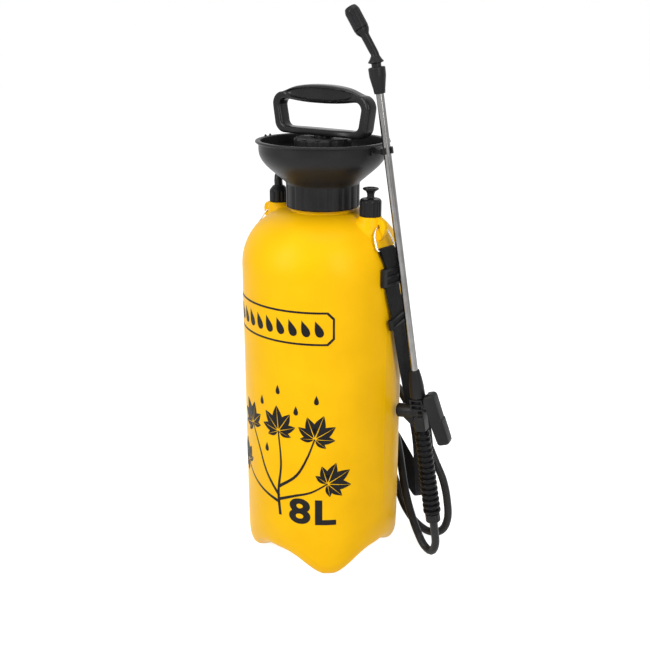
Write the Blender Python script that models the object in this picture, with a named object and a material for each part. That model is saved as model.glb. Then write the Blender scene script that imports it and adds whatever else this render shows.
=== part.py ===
"""Hand-carried pump-action pressure sprayer: an eight litre blow-moulded tank with a funnel, a hand pump,
a hose outlet, a pressure relief valve, a shoulder strap, and a lance with its trigger gun clipped to the rim.

Metres, +Z up. Everything is laid out round the tank's axis, then moved so that the origin is the middle of
the bounding box of all but the hose, on the ground. The front faces -Y, and the port with the relief valve,
its strap lug and the lance clip lie on +X."""

from math import atan2, cos, pi, radians, sin, sqrt

import bmesh
import bpy
from mathutils import Matrix, Vector
from mathutils.geometry import interpolate_bezier

# ---------------------------------------------------------------- driving dimensions, in metres
FIT = 0.0003                 # clearance between neighbouring pieces

TANK_RADIUS = 0.0900
TANK_WALL = 0.0032
SHOULDER_Z = 0.3520          # the straight side ends here and the dome begins
NECK_BASE_Z = 0.4120         # the dome ends here at the neck
NECK_RADIUS = 0.0340
NECK_WALL = 0.0035
NECK_TOP_Z = 0.4380
BASE_Z = 0.0600              # the straight side ends here and the four feet begin
FOOT_RADIUS = 0.83 * TANK_RADIUS     # where each foot touches the ground
FOOT_HEIGHT = 0.0220         # how high the valleys between the feet arch
FLOOR_Z = 0.0270             # inside floor of the tank
FOOT_PAD = 1.14              # above one, the middle of each foot is a flat pad

BASE_SPLIT_Z = 0.0640        # the one moulding is modelled in four bodies that meet here,
SHOULDER_SPLIT_Z = 0.3480    # here
NECK_SPLIT_Z = 0.4123        # and here, inside NECK_SPLIT_RADIUS
NECK_SPLIT_RADIUS = 0.0380
PORT_X = TANK_RADIUS - 0.0245        # both ports lie this far from the tank's axis
PORT_TOP_Z = 0.4128
PORT_RADIUS = 0.0122
LUG_OUTER = TANK_RADIUS - 0.0034
LUG_THICKNESS = 0.0060
RING_HOLE_X = TANK_RADIUS - 0.0124
RING_HOLE_Z = 0.4030
RING_HOLE_RADIUS = 0.0024
RING_WIRE = 0.0011
RING_LENGTH = 0.0246         # between the middles of its two bars
RING_HALF_WIDTH = 0.0151
RING_HANG = radians(23)      # the rings lie on the dome, this far from hanging straight down

COLLAR_RADIUS = 0.0403
COLLAR_BOTTOM_Z = 0.4160
COLLAR_TOP_Z = 0.4430
COLLAR_RIBS = 18
RIB_DEPTH = 0.0011
LEDGE_THICKNESS = 0.0032
LEDGE_STEP = 0.0004          # the ledge steps down this much under the pump cap
LEDGE_OUTER = 0.0358         # radius where the ledge meets the bowl
BOWL_RADIUS = 0.0693
RIM_LIP = 0.0032             # how far the rim stands out from the bowl
RIM_RADIUS = BOWL_RADIUS + RIM_LIP
RIM_Z = 0.4875
RIM_THICKNESS = 0.0026
FUNNEL_WALL = 0.0024

CYLINDER_RADIUS = 0.0195
CYLINDER_WALL = 0.0020
CYLINDER_LENGTH = 0.2500
CYLINDER_FLANGE = 0.0024     # thickness
INNER_NECK_WALL = 0.0038
INNER_NECK_TOP_Z = 0.4780
SEAL_THICKNESS = 0.0018
CAP_WALL = 0.0042
CAP_PLATE = 0.0040
STROKE_REST = 0.0072         # the piston rests this far above the cylinder's bottom
ROD_RADIUS = 0.0060
PISTON_LENGTH = 0.0140

HANDLE_HALF_WIDTH = 0.0672
HANDLE_LIMB = 0.0120
HANDLE_RISE = 0.0044         # between the pump cap and the loop's bottom
HANDLE_LOOP = 0.0533         # height of the loop at its middle
HANDLE_HALF_DEPTH = 0.0100
HANDLE_END_HALF_DEPTH = 0.0077
RECESS_HALF_WIDTH = 0.0470   # of the long recess on each face of the grip
RECESS_HALF_HEIGHT = 0.0060
RECESS_DROP = 0.0100         # from the loop's top to the recess's middle
RECESS_FLOOR = 0.0044        # from the handle's middle to the bottom of the recess
PAST = 0.0300                # how far a cutting shape runs past what it cuts

NUT_RADIUS = 0.0105
NUT_HEIGHT = 0.0182
SPIGOT_RADIUS = 0.0072
SPIGOT_BORE = 0.0048
SPIGOT_HEIGHT = 0.0110
DIP_TUBE_RADIUS = 0.0040
DIP_TUBE_WALL = 0.0010
DIP_GAP = 0.0100             # between the strainer and the tank's floor

RELIEF_RADIUS = 0.0116
RELIEF_HEIGHT = 0.0182
RELIEF_SPIGOT = 0.0084
RELIEF_SPIGOT_HEIGHT = 0.0060
RELIEF_CHAMBER = 0.0062      # radius
RELIEF_STEM = 0.0024
RELIEF_KNOB = 0.0085
RELIEF_KNOB_RISE = 0.0115

HOSE_RADIUS = 0.00475
WEBBING_WIDTH = 0.0240
WEBBING_THICKNESS = 0.0012
BUCKLE_Y = 0.0040
BUCKLE_Z = 0.3512
BUCKLE_WIDTH = 0.0350
BUCKLE_HEIGHT = 0.0200
BUCKLE_SHEET = 0.0011
BUCKLE_FACE = 0.0008
BUCKLE_BAR = 0.0030
SLIDER_HEIGHT = 0.0120

# The gun, the hose and the strap were laid out round a tank and a funnel of these radii.
LAYOUT_TANK_RADIUS = 0.0900
LAYOUT_BOWL_RADIUS = 0.0693


def beside_tank(point):
    """A laid out point, moved out from the tank's axis by what the tank has grown."""
    out = Vector((point[0], point[1], 0.0)).normalized()
    return Vector(point) + (TANK_RADIUS - LAYOUT_TANK_RADIUS) * out


def beside_funnel(point):
    """A laid out point up beside the funnel, moved out by what the tank and the bowl have grown."""
    out = Vector((point[0], point[1], 0.0)).normalized()
    return beside_tank(point) + (BOWL_RADIUS - LAYOUT_BOWL_RADIUS) * out


# The lance: its middle passes through the clip and through the gun's valve axis.
CLIP_REACH = 0.0174          # from the bowl to the lance's axis
CLIP_INSIDE = 0.0033         # the lance's axis comes no further than this inside the tank's radius
CLIP_POINT = Vector((max(BOWL_RADIUS + CLIP_REACH, TANK_RADIUS - CLIP_INSIDE), -0.0020, RIM_Z - 0.0045))
GUN_POINT = beside_tank((0.1182, 0.0274, 0.1944))
LANCE_RADIUS = 0.0040
LANCE_WALL = 0.0009
NUT_BOTTOM = 0.0567          # stations along the lance, measured up from the clip
NUT_LENGTH = 0.0257
NUT_TIP_RADIUS = 0.0056
NUT_TOP_RADIUS = 0.0086
BEND_STATION = 0.0945
BEND_ANGLE = radians(24.5)
BEND_ROLL = radians(7)       # direction of the bend about the lance, from +X
ELBOW_RADIUS = 0.0038
ELBOW_REACH = 0.0275         # from the bend to the nozzle cap
NOZZLE_CAP_RADIUS = 0.0076
NOZZLE_CAP_LENGTH = 0.0240
NOZZLE_THREAD = 0.0056

COLLAR_LENGTH = 0.0326
COLLAR_TIP_RADIUS = 0.0054
COLLAR_END_RADIUS = 0.0086
GUN_HALF_WIDTH = 0.0078
GUN_HALF_DEPTH = 0.0086
GUN_SPIGOT = 0.0056
GUN_SPIGOT_LENGTH = 0.0150
FRAME_LENGTH = 0.0222        # the open ribbed part under the collar
FRAME_RIBS = 4
BLOCK_LENGTH = 0.0190
STEM_RADIUS = 0.0055
STEM_BORE = 0.0025
GRIP_LENGTH = 0.1057
GRIP_RIBS = 15
GRIP_TOP_RADIUS = 0.0088
GRIP_BOTTOM_RADIUS = 0.0102
GRIP_CORE = 0.0070
HOSE_NUT_RADIUS = 0.0085
HOSE_NUT_LENGTH = 0.0120
VALVE_STATION = 0.0172       # below the collar
VALVE_RADIUS = 0.0080
VALVE_REACH = 0.0232         # from the lance's axis to the valve cap
VALVE_CHAMBER = 0.0056
VALVE_PIN = 0.0018
LEVER_PIVOT_X = 0.0112
LEVER_PIVOT_STATION = 0.0012
LEVER_LENGTH = 0.0620
LEVER_WIDTH = 0.0150
LEVER_DEPTH = 0.0140
LEVER_ANGLE = radians(12)
LEVER_SHEET = 0.0018
PIVOT_RADIUS = 0.0015

# ---------------------------------------------------------------- scene and materials


def clear_scene():
    for thing in list(bpy.data.objects):
        bpy.data.objects.remove(thing, do_unlink=True)


def material(name, colour, roughness, metallic=0.0):
    made = bpy.data.materials.new(name)
    made.use_nodes = True
    shader = made.node_tree.nodes["Principled BSDF"]
    shader.inputs["Base Color"].default_value = (*colour, 1.0)
    shader.inputs["Roughness"].default_value = roughness
    shader.inputs["Metallic"].default_value = metallic
    made.diffuse_color = (*colour, 1.0)
    return made


clear_scene()
YELLOW = material("tank_yellow", (0.90, 0.52, 0.015), 0.38)
BLACK = material("black_plastic", (0.030, 0.030, 0.032), 0.48)
SATIN_BLACK = material("satin_black", (0.045, 0.045, 0.048), 0.36)
RUBBER = material("black_rubber", (0.020, 0.020, 0.021), 0.75)
HOSE_BLACK = material("hose_black", (0.050, 0.050, 0.052), 0.42)
WEBBING = material("webbing", (0.015, 0.015, 0.017), 0.90)
STEEL = material("polished_steel", (0.70, 0.69, 0.67), 0.16, 1.0)
CHROME = material("chrome", (0.80, 0.80, 0.80), 0.10, 1.0)
CLEAR = material("natural_plastic", (0.72, 0.72, 0.68), 0.45)

# ---------------------------------------------------------------- modelling helpers


def make_object(name, bm, shade, parent=None, matrix=None):
    """Turn a bmesh into a named object with its material, shaded smooth but for its sharp edges."""
    bmesh.ops.remove_doubles(bm, verts=bm.verts, dist=1e-7)
    bmesh.ops.recalc_face_normals(bm, faces=bm.faces)
    mesh = bpy.data.meshes.new(name)
    bm.to_mesh(mesh)
    bm.free()
    mesh.shade_smooth()
    mesh.set_sharp_from_angle(angle=radians(35))
    made = bpy.data.objects.new(name, mesh)
    made.data.materials.append(shade)
    bpy.context.collection.objects.link(made)
    if parent is not None:
        made.parent = parent
    if matrix is not None:
        made.matrix_local = matrix
    return made


def make_frame(name, matrix, parent=None):
    frame = bpy.data.objects.new(name, None)
    frame.empty_display_size = 0.02
    bpy.context.collection.objects.link(frame)
    if parent is not None:
        frame.parent = parent
    frame.matrix_local = matrix
    return frame


def combine(target, other, operation):
    """Apply an exact Boolean of another object to the target, then delete the other object."""
    bpy.context.view_layer.update()
    modifier = target.modifiers.new(operation.lower(), "BOOLEAN")
    modifier.operation = operation
    modifier.solver = "EXACT"
    modifier.object = other
    bpy.context.view_layer.update()
    evaluated = target.evaluated_get(bpy.context.evaluated_depsgraph_get())
    mesh = bpy.data.meshes.new_from_object(evaluated)
    target.modifiers.clear()
    target.data = mesh
    bpy.data.objects.remove(other, do_unlink=True)
    mesh.shade_smooth()
    mesh.set_sharp_from_angle(angle=radians(35))


def cut(target, other):
    combine(target, other, "DIFFERENCE")


def fuse(target, other):
    combine(target, other, "UNION")


def lathe_mesh(profile, segments, groove_every=0, squash=1.0):
    """A bmesh turned about Z from a closed section of (radius, z) or (radius, z, groove depth) points.

    With groove_every, each point's radius drops by its groove depth on one segment in that many."""
    bm = bmesh.new()
    rings = []
    for point in profile:
        radius, height = point[0], point[1]
        depth = point[2] if len(point) > 2 else 0.0
        if radius < 1e-9:
            rings.append([bm.verts.new((0.0, 0.0, height))])
            continue
        ring = []
        for index in range(segments):
            angle = 2 * pi * index / segments
            grooved = groove_every and index % groove_every == 0
            reach = radius - (depth if grooved else 0.0)
            ring.append(bm.verts.new((reach * cos(angle), squash * reach * sin(angle), height)))
        rings.append(ring)
    for index, ring in enumerate(rings):
        following = rings[(index + 1) % len(rings)]
        if len(ring) == 1 and len(following) == 1:
            continue
        for step in range(segments):
            after = (step + 1) % segments
            if len(ring) == 1:
                bm.faces.new((ring[0], following[step], following[after]))
            elif len(following) == 1:
                bm.faces.new((ring[step], following[0], ring[after]))
            else:
                bm.faces.new((ring[step], following[step], following[after], ring[after]))
    return bm


def lathe(name, profile, shade, segments=32, parent=None, matrix=None, groove_every=0, squash=1.0):
    bm = lathe_mesh(profile, segments, groove_every, squash)
    return make_object(name, bm, shade, parent, matrix)


def tube_section(outer, inner, low, high):
    """The section of a plain ring or sleeve; an inner radius of nought makes a solid rod."""
    return [(inner, low), (outer, low), (outer, high), (inner, high)]


def rod_section(radius, low, high, chamfer=0.0):
    if not chamfer:
        return [(0.0, low), (radius, low), (radius, high), (0.0, high)]
    return [(0.0, low), (radius - chamfer, low), (radius, low + chamfer),
            (radius, high - chamfer), (radius - chamfer, high), (0.0, high)]


def box_mesh(low, high):
    bm = bmesh.new()
    size = Vector(high) - Vector(low)
    middle = (Vector(high) + Vector(low)) / 2
    matrix = Matrix.Translation(middle) @ Matrix.Diagonal((*size, 1.0))
    bmesh.ops.create_cube(bm, size=1.0, matrix=matrix)
    return bm


def box(name, low, high, shade, parent=None, matrix=None, bevel=0.0):
    bm = box_mesh(low, high)
    if bevel:
        bmesh.ops.bevel(bm, geom=bm.edges[:], offset=bevel, segments=1, affect="EDGES")
    return make_object(name, bm, shade, parent, matrix)


def prism_mesh(outline, low, high):
    """A bmesh of an (x, z) outline drawn out along Y."""
    bm = bmesh.new()
    face = bm.faces.new([bm.verts.new((x, low, z)) for x, z in outline])
    drawn = bmesh.ops.extrude_face_region(bm, geom=[face])
    moved = [item for item in drawn["geom"] if isinstance(item, bmesh.types.BMVert)]
    bmesh.ops.translate(bm, vec=(0.0, high - low, 0.0), verts=moved)
    return bm


def prism(name, outline, low, high, shade, parent=None, matrix=None):
    return make_object(name, prism_mesh(outline, low, high), shade, parent, matrix)


def pin(name, radius, start, end, shade, parent=None, segments=16):
    """A round pin between two points of its parent's frame."""
    start, end = Vector(start), Vector(end)
    turn = (end - start).to_track_quat("Z", "Y").to_matrix().to_4x4()
    matrix = Matrix.Translation(start) @ turn
    return lathe(name, rod_section(radius, 0.0, (end - start).length), shade, segments, parent, matrix)


def curve_tube(name, points, radius, shade, parent=None, matrix=None, closed=False, resolution=2):
    """A round tube along points, with filled caps, as a curve object with a bevel."""
    data = bpy.data.curves.new(name, "CURVE")
    data.dimensions = "3D"
    data.bevel_depth = radius
    data.bevel_resolution = resolution
    data.use_fill_caps = not closed
    spline = data.splines.new("POLY")
    spline.points.add(len(points) - 1)
    spline.use_cyclic_u = closed
    for place, point in zip(spline.points, points):
        place.co = (*point, 1.0)
    made = bpy.data.objects.new(name, data)
    data.materials.append(shade)
    bpy.context.collection.objects.link(made)
    if parent is not None:
        made.parent = parent
    if matrix is not None:
        made.matrix_local = matrix
    return made


def helix(radius, length, turns, points_per_turn=8):
    """Points of a spring along +Z with closed ends."""
    count = int(turns * points_per_turn)
    points = []
    for index in range(count + 1):
        share = index / count
        angle = 2 * pi * turns * share
        points.append((radius * cos(angle), radius * sin(angle), length * share))
    return points


def curve_through(route, step):
    """Points about a step apart on a smooth curve through a route, each with its place along the route."""
    ahead = [(second - first).normalized() for first, second in zip(route, route[1:])]
    tangents = [ahead[0]] + [(one + two).normalized() for one, two in zip(ahead, ahead[1:])] + [ahead[-1]]
    points = []
    for index, (start, end) in enumerate(zip(route, route[1:])):
        steps = max(1, round((end - start).length / step))
        reach = (end - start).length / 3
        curve = interpolate_bezier(start, start + reach * tangents[index], end - reach * tangents[index + 1],
                                   end, steps + 1)
        points += [(point, index + number / steps) for number, point in enumerate(curve[:-1])]
    points.append((route[-1], len(route) - 1))
    return points


def even_route(route, spacing):
    """Points a spacing apart along the smooth curve through a route."""
    fine = [point for point, _ in curve_through(route, spacing / 8)]
    lengths = [0.0]
    for first, second in zip(fine, fine[1:]):
        lengths.append(lengths[-1] + (second - first).length)
    count = max(2, round(lengths[-1] / spacing))
    points, at = [], 0
    for step in range(count + 1):
        wanted = lengths[-1] * step / count
        while at < len(fine) - 2 and lengths[at + 1] < wanted:
            at += 1
        part = (wanted - lengths[at]) / (lengths[at + 1] - lengths[at])
        points.append(fine[at].lerp(fine[at + 1], min(1.0, part)))
    return points


# ---------------------------------------------------------------- tank
DOME_WIDTH = TANK_RADIUS - NECK_RADIUS
DOME_HEIGHT = NECK_BASE_Z - SHOULDER_Z


def dome_z(radius, inset=0.0):
    """Height of the dome, a quarter ellipse, at a radius, or of a dome that much inside it."""
    share = (radius - NECK_RADIUS) / (DOME_WIDTH - inset)
    return SHOULDER_Z + (DOME_HEIGHT - inset) * sqrt(max(0.0, 1.0 - share * share))


def dome_section(inset, steps):
    """Dome points from the side of the tank up to its neck."""
    points = []
    for step in range(steps + 1):
        angle = 0.5 * pi * step / steps
        radius = NECK_RADIUS + (DOME_WIDTH - inset) * cos(angle)
        points.append((radius, SHOULDER_Z + (DOME_HEIGHT - inset) * sin(angle)))
    return points


def base_section():
    """Two sections of the base from its side to its middle: through a foot and through a valley.

    Each row is (radius, height) in the foot and (radius, height) in the valley."""
    toe = FOOT_RADIUS
    reach = TANK_RADIUS - toe
    deep = FOOT_HEIGHT
    foot = [(TANK_RADIUS, BASE_Z), (toe + 0.99 * reach, 0.60 * BASE_Z), (toe + 0.94 * reach, 0.30 * BASE_Z),
            (toe + 0.72 * reach, 0.11 * BASE_Z), (toe + 0.38 * reach, 0.02 * BASE_Z), (toe, 0.0),
            (0.90 * toe, 0.0), (0.80 * toe, 0.10 * deep), (0.66 * toe, 0.42 * deep),
            (0.46 * toe, 0.78 * deep), (0.24 * toe, 0.90 * deep)]
    valley = [(TANK_RADIUS, BASE_Z), (toe + 0.97 * reach, BASE_Z - 0.25 * deep),
              (toe + 0.86 * reach, BASE_Z - 0.80 * deep), (toe + 0.68 * reach, BASE_Z - 1.28 * deep),
              (toe + 0.35 * reach, BASE_Z - 1.58 * deep), (0.98 * toe, BASE_Z - 1.74 * deep),
              (0.90 * toe, BASE_Z - 1.80 * deep), (0.80 * toe, 0.90 * deep), (0.66 * toe, 0.86 * deep),
              (0.46 * toe, 0.86 * deep), (0.24 * toe, 0.90 * deep)]
    return list(zip(foot, valley))


def tank_outside(segments=40):
    bm = bmesh.new()
    upper = [(NECK_RADIUS, NECK_TOP_Z)] + dome_section(0.0, 9)[::-1]
    rows = [[radius] * segments for radius, _ in upper]
    heights = [[height] * segments for _, height in upper]
    for foot, valley in base_section():
        row, height = [], []
        for index in range(segments):
            share = min(1.0, 0.5 * FOOT_PAD * (1.0 + cos(4 * (2 * pi * index / segments - pi / 4))))
            row.append(valley[0] + share * (foot[0] - valley[0]))
            height.append(valley[1] + share * (foot[1] - valley[1]))
        rows.append(row)
        heights.append(height)
    rings = []
    for row, height in zip(rows, heights):
        ring = []
        for index in range(segments):
            angle = 2 * pi * index / segments
            ring.append(bm.verts.new((row[index] * cos(angle), row[index] * sin(angle), height[index])))
        rings.append(ring)
    for upper_ring, lower_ring in zip(rings, rings[1:]):
        for step in range(segments):
            after = (step + 1) % segments
            bm.faces.new((upper_ring[step], lower_ring[step], lower_ring[after], upper_ring[after]))
    bm.faces.new(rings[0])
    middle = bm.verts.new((0.0, 0.0, 0.94 * FOOT_HEIGHT))
    for step in range(segments):
        bm.faces.new((rings[-1][(step + 1) % segments], rings[-1][step], middle))
    return bm


def lug_outline():
    """The fin between a port and the strap ring, in X and Z, for the port on +X."""
    top = PORT_TOP_Z - 0.0007
    foot = LUG_OUTER - 0.0098
    return [(PORT_X + 0.3 * PORT_RADIUS, dome_z(foot) - 0.004), (PORT_X + 0.3 * PORT_RADIUS, top),
            (RING_HOLE_X + 0.0010, top), (LUG_OUTER - 0.0036, top - 0.0018), (LUG_OUTER - 0.0008, top - 0.0048),
            (LUG_OUTER, RING_HOLE_Z), (LUG_OUTER - 0.0010, RING_HOLE_Z - 0.0060),
            (LUG_OUTER - 0.0044, RING_HOLE_Z - 0.0130), (foot, dome_z(foot) - 0.004)]


def inside_of(source, name, radius, low, high):
    """A new object: the part of a solid within a radius of the tank's axis and between two heights."""
    part = bpy.data.objects.new(name, source.data.copy())
    bpy.context.collection.objects.link(part)
    combine(part, lathe("round", rod_section(radius, low, high), YELLOW, 32), "INTERSECT")
    return part


def build_tank():
    """The blow-moulded tank, then its wall split across into base, barrel, dome and neck."""
    tank = make_object("moulding", tank_outside(), YELLOW)
    inside = [(0.0, NECK_TOP_Z + 0.01), (NECK_RADIUS - NECK_WALL, NECK_TOP_Z + 0.01)]
    inner_dome = dome_section(TANK_WALL, 7)[::-1]
    inside.append((NECK_RADIUS - NECK_WALL, inner_dome[0][1]))
    inside += inner_dome[1:]
    inner_radius = TANK_RADIUS - TANK_WALL
    inside += [(inner_radius, BASE_Z), (0.965 * inner_radius, 0.5 * (BASE_Z + FLOOR_Z) - 0.001),
               (0.86 * inner_radius, FLOOR_Z + 0.005), (0.72 * inner_radius, FLOOR_Z), (0.0, FLOOR_Z)]
    # A port and a strap lug on each side, moulded with the tank.
    for side, spigot, spigot_top in ((1, RELIEF_SPIGOT, PORT_TOP_Z + RELIEF_SPIGOT_HEIGHT),
                                     (-1, SPIGOT_RADIUS, PORT_TOP_Z + SPIGOT_HEIGHT)):
        place = Matrix.Translation((side * PORT_X, 0.0, 0.0)) @ Matrix.Rotation(radians(5), 4, "Z")
        sunk = dome_z(PORT_X + PORT_RADIUS) - 0.002
        fuse(tank, lathe("port", [(0.0, sunk), (PORT_RADIUS, sunk), (PORT_RADIUS, PORT_TOP_Z),
                                  (spigot, PORT_TOP_Z), (spigot, spigot_top), (0.0, spigot_top)],
                         YELLOW, 20, matrix=place))
        outline = [(side * x, z) for x, z in lug_outline()]
        fuse(tank, prism("lug", outline, -LUG_THICKNESS / 2, LUG_THICKNESS / 2, YELLOW))
        hole = [(side * RING_HOLE_X, y, RING_HOLE_Z) for y in (-LUG_THICKNESS, LUG_THICKNESS)]
        cut(tank, pin("ring_hole", RING_HOLE_RADIUS, *hole, YELLOW, segments=12))
    cut(tank, lathe("cavity", inside, YELLOW, 28))
    for side in (1, -1):
        place = Matrix.Translation((side * PORT_X, 0.0, 0.0))
        bore = rod_section(SPIGOT_BORE, dome_z(PORT_X) - 2.5 * TANK_WALL, PORT_TOP_Z + NUT_HEIGHT)
        cut(tank, lathe("port_bore", bore, YELLOW, 16, matrix=place))
    all_round, above = TANK_RADIUS + PAST, NECK_TOP_Z + PAST
    inside_of(tank, "tank_base", all_round, -PAST, BASE_SPLIT_Z)
    inside_of(tank, "tank", all_round, BASE_SPLIT_Z + FIT, SHOULDER_SPLIT_Z)
    dome = inside_of(tank, "tank_dome", all_round, SHOULDER_SPLIT_Z + FIT, above)
    cut(dome, lathe("round", rod_section(NECK_SPLIT_RADIUS, NECK_SPLIT_Z, above), YELLOW, 32))
    inside_of(tank, "tank_neck", NECK_SPLIT_RADIUS, NECK_SPLIT_Z + FIT, above)
    bpy.data.objects.remove(tank, do_unlink=True)


build_tank()

# ---------------------------------------------------------------- strap rings


def ring_points():
    """A rounded loop in its own plane: Y across, -Z down; its top lies in the lug's hole, its bar is straight."""
    side = [(0.0, 0.0), (0.0040, -0.0005), (0.0080, -0.0028), (0.0112, -0.0066), (0.0134, -0.0114),
            (0.0146, 0.0066 - RING_LENGTH), (RING_HALF_WIDTH, 0.0024 - RING_LENGTH),
            (RING_HALF_WIDTH - 0.0007, 0.0007 - RING_LENGTH), (RING_HALF_WIDTH - 0.0024, -RING_LENGTH)]
    mirrored = [(-across, level) for across, level in side[:0:-1]]
    return [(0.0, across, level) for across, level in side + mirrored]


RING_TOP = Vector((RING_HOLE_X, 0.0, RING_HOLE_Z))
RING_BAR = RING_TOP + RING_LENGTH * Vector((sin(RING_HANG), 0.0, -cos(RING_HANG)))
for side, label in ((1, "right"), (-1, "left")):
    swing = Matrix.Rotation(-side * RING_HANG, 4, "Y")
    place = Matrix.Translation((side * RING_TOP.x, 0.0, RING_TOP.z)) @ swing
    curve_tube("strap_ring_" + label, ring_points(), RING_WIRE, CHROME, matrix=place, closed=True, resolution=1)

# ---------------------------------------------------------------- funnel and its seal
COLLAR_BORE = NECK_RADIUS + FIT
LEDGE_Z = NECK_TOP_Z + 2 * FIT + 0.0027
INNER_NECK_BORE = CYLINDER_RADIUS + 0.0005
INNER_NECK_RADIUS = INNER_NECK_BORE + INNER_NECK_WALL


def bowl_section(steps=5):
    """Outside of the funnel's bowl, from the collar's top up to the rim."""
    grow = BOWL_RADIUS - COLLAR_RADIUS
    rise = RIM_Z - COLLAR_TOP_Z - 0.0095
    start = Vector((COLLAR_RADIUS + 0.0006, COLLAR_TOP_Z, 0.0))
    first = Vector((COLLAR_RADIUS + 0.59 * grow, COLLAR_TOP_Z + 0.42 * rise, 0.0))
    second = Vector((BOWL_RADIUS, COLLAR_TOP_Z + 0.61 * rise, 0.0))
    end = Vector((BOWL_RADIUS, COLLAR_TOP_Z + rise, 0.0))
    return [(point.x, point.y) for point in interpolate_bezier(start, first, second, end, steps + 1)]


def inset_section(points, distance):
    """The same section moved inwards, square to itself."""
    moved = []
    for index, (radius, height) in enumerate(points):
        before = points[max(0, index - 1)]
        after = points[min(len(points) - 1, index + 1)]
        along = Vector((after[0] - before[0], after[1] - before[1])).normalized()
        moved.append((radius - distance * along.y, height + distance * along.x))
    return moved


def build_funnel():
    outside = bowl_section()
    inside = inset_section(outside, FUNNEL_WALL)
    floor_z = LEDGE_Z + LEDGE_THICKNESS
    lip = RIM_Z - RIM_THICKNESS
    section = [(COLLAR_BORE, COLLAR_BOTTOM_Z), (COLLAR_RADIUS - 0.0008, COLLAR_BOTTOM_Z),
               (COLLAR_RADIUS, COLLAR_BOTTOM_Z + 0.0008, RIB_DEPTH),
               (COLLAR_RADIUS, COLLAR_TOP_Z - 0.0022, RIB_DEPTH)]
    section += outside
    section += [(BOWL_RADIUS, lip - 0.0016), (RIM_RADIUS, lip), (RIM_RADIUS + 0.0003, RIM_Z - 0.0010),
                (RIM_RADIUS - 0.0008, RIM_Z), (BOWL_RADIUS - 0.0016, RIM_Z)]
    section += [point for point in inside[::-1] if point[1] > floor_z + 0.0006]
    under_cap = INNER_NECK_RADIUS + FIT + CAP_WALL + 2 * FIT
    stepped = floor_z - LEDGE_STEP
    section += [(LEDGE_OUTER, floor_z), (COLLAR_BORE, floor_z)]
    lathe("funnel", section, BLACK, 3 * COLLAR_RIBS, groove_every=3)
    # The ledge and the inner neck on it are moulded with the funnel; each is modelled as a body of its own.
    lathe("funnel_ledge", [(INNER_NECK_BORE, LEDGE_Z), (COLLAR_BORE - FIT, LEDGE_Z),
                           (COLLAR_BORE - FIT, floor_z), (under_cap, floor_z), (under_cap, stepped),
                           (INNER_NECK_BORE, stepped)], BLACK, 36)
    lathe("funnel_neck", tube_section(INNER_NECK_RADIUS, INNER_NECK_BORE, stepped + FIT, INNER_NECK_TOP_Z),
          BLACK, 36)


build_funnel()
lathe("neck_seal", tube_section(COLLAR_BORE - FIT, NECK_RADIUS - NECK_WALL + 0.0004,
                                NECK_TOP_Z + FIT, LEDGE_Z - FIT), RUBBER, 24)

# ---------------------------------------------------------------- hand pump
SEAL_Z = INNER_NECK_TOP_Z + FIT
FLANGE_Z = SEAL_Z + SEAL_THICKNESS + FIT
FLANGE_TOP = FLANGE_Z + CYLINDER_FLANGE
CAP_PLATE_Z = FLANGE_TOP + FIT
CAP_TOP = CAP_PLATE_Z + CAP_PLATE
CAP_BORE = INNER_NECK_RADIUS + FIT
CAP_RADIUS = CAP_BORE + CAP_WALL
CYLINDER_BOTTOM = FLANGE_TOP - CYLINDER_LENGTH
CYLINDER_BORE = CYLINDER_RADIUS - CYLINDER_WALL
BOTTOM_WALL = 0.0035
VALVE_STEM = 0.0020


def build_pump_body():
    lathe("cylinder_seal", tube_section(INNER_NECK_RADIUS - 0.0002, CYLINDER_RADIUS + FIT,
                                        SEAL_Z, SEAL_Z + SEAL_THICKNESS), RUBBER, 24)
    section = [(VALVE_STEM + FIT, CYLINDER_BOTTOM), (CYLINDER_RADIUS - 0.0010, CYLINDER_BOTTOM),
               (CYLINDER_RADIUS, CYLINDER_BOTTOM + 0.0010), (CYLINDER_RADIUS, FLANGE_Z),
               (INNER_NECK_RADIUS, FLANGE_Z), (INNER_NECK_RADIUS, FLANGE_TOP),
               (CYLINDER_BORE, FLANGE_TOP), (CYLINDER_BORE, CYLINDER_BOTTOM + BOTTOM_WALL),
               (VALVE_STEM + FIT, CYLINDER_BOTTOM + BOTTOM_WALL)]
    cylinder = lathe("pump_cylinder", section, BLACK, 24)
    for index in range(4):
        angle = pi / 4 + index * pi / 2
        place = Vector((0.0055 * cos(angle), 0.0055 * sin(angle), CYLINDER_BOTTOM - 0.001))
        above = place + Vector((0.0, 0.0, BOTTOM_WALL + 0.002))
        cut(cylinder, pin("air_hole", 0.0012, place, above, BLACK, segments=8))
    button = CYLINDER_BOTTOM + BOTTOM_WALL + FIT
    lathe("check_valve", [(0.0, CYLINDER_BOTTOM - 0.0026), (0.0060, CYLINDER_BOTTOM - 0.0022),
                          (0.0088, CYLINDER_BOTTOM - 0.0010), (0.0088, CYLINDER_BOTTOM - FIT),
                          (VALVE_STEM, CYLINDER_BOTTOM - FIT), (VALVE_STEM, button),
                          (0.0034, button), (VALVE_STEM, button + 0.0020), (0.0, button + 0.0022)],
          RUBBER, 14)
    low = LEDGE_Z + LEDGE_THICKNESS + 0.0012
    section = [(CAP_BORE, low), (CAP_RADIUS - 0.0008, low), (CAP_RADIUS, low + 0.0008, RIB_DEPTH),
               (CAP_RADIUS, CAP_TOP - 0.0012, RIB_DEPTH), (CAP_RADIUS - 0.0016, CAP_TOP),
               (ROD_RADIUS + 0.0004, CAP_TOP), (ROD_RADIUS + 0.0004, CAP_PLATE_Z), (CAP_BORE, CAP_PLATE_Z)]
    lathe("pump_cap", section, BLACK, 36, groove_every=3)


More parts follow.
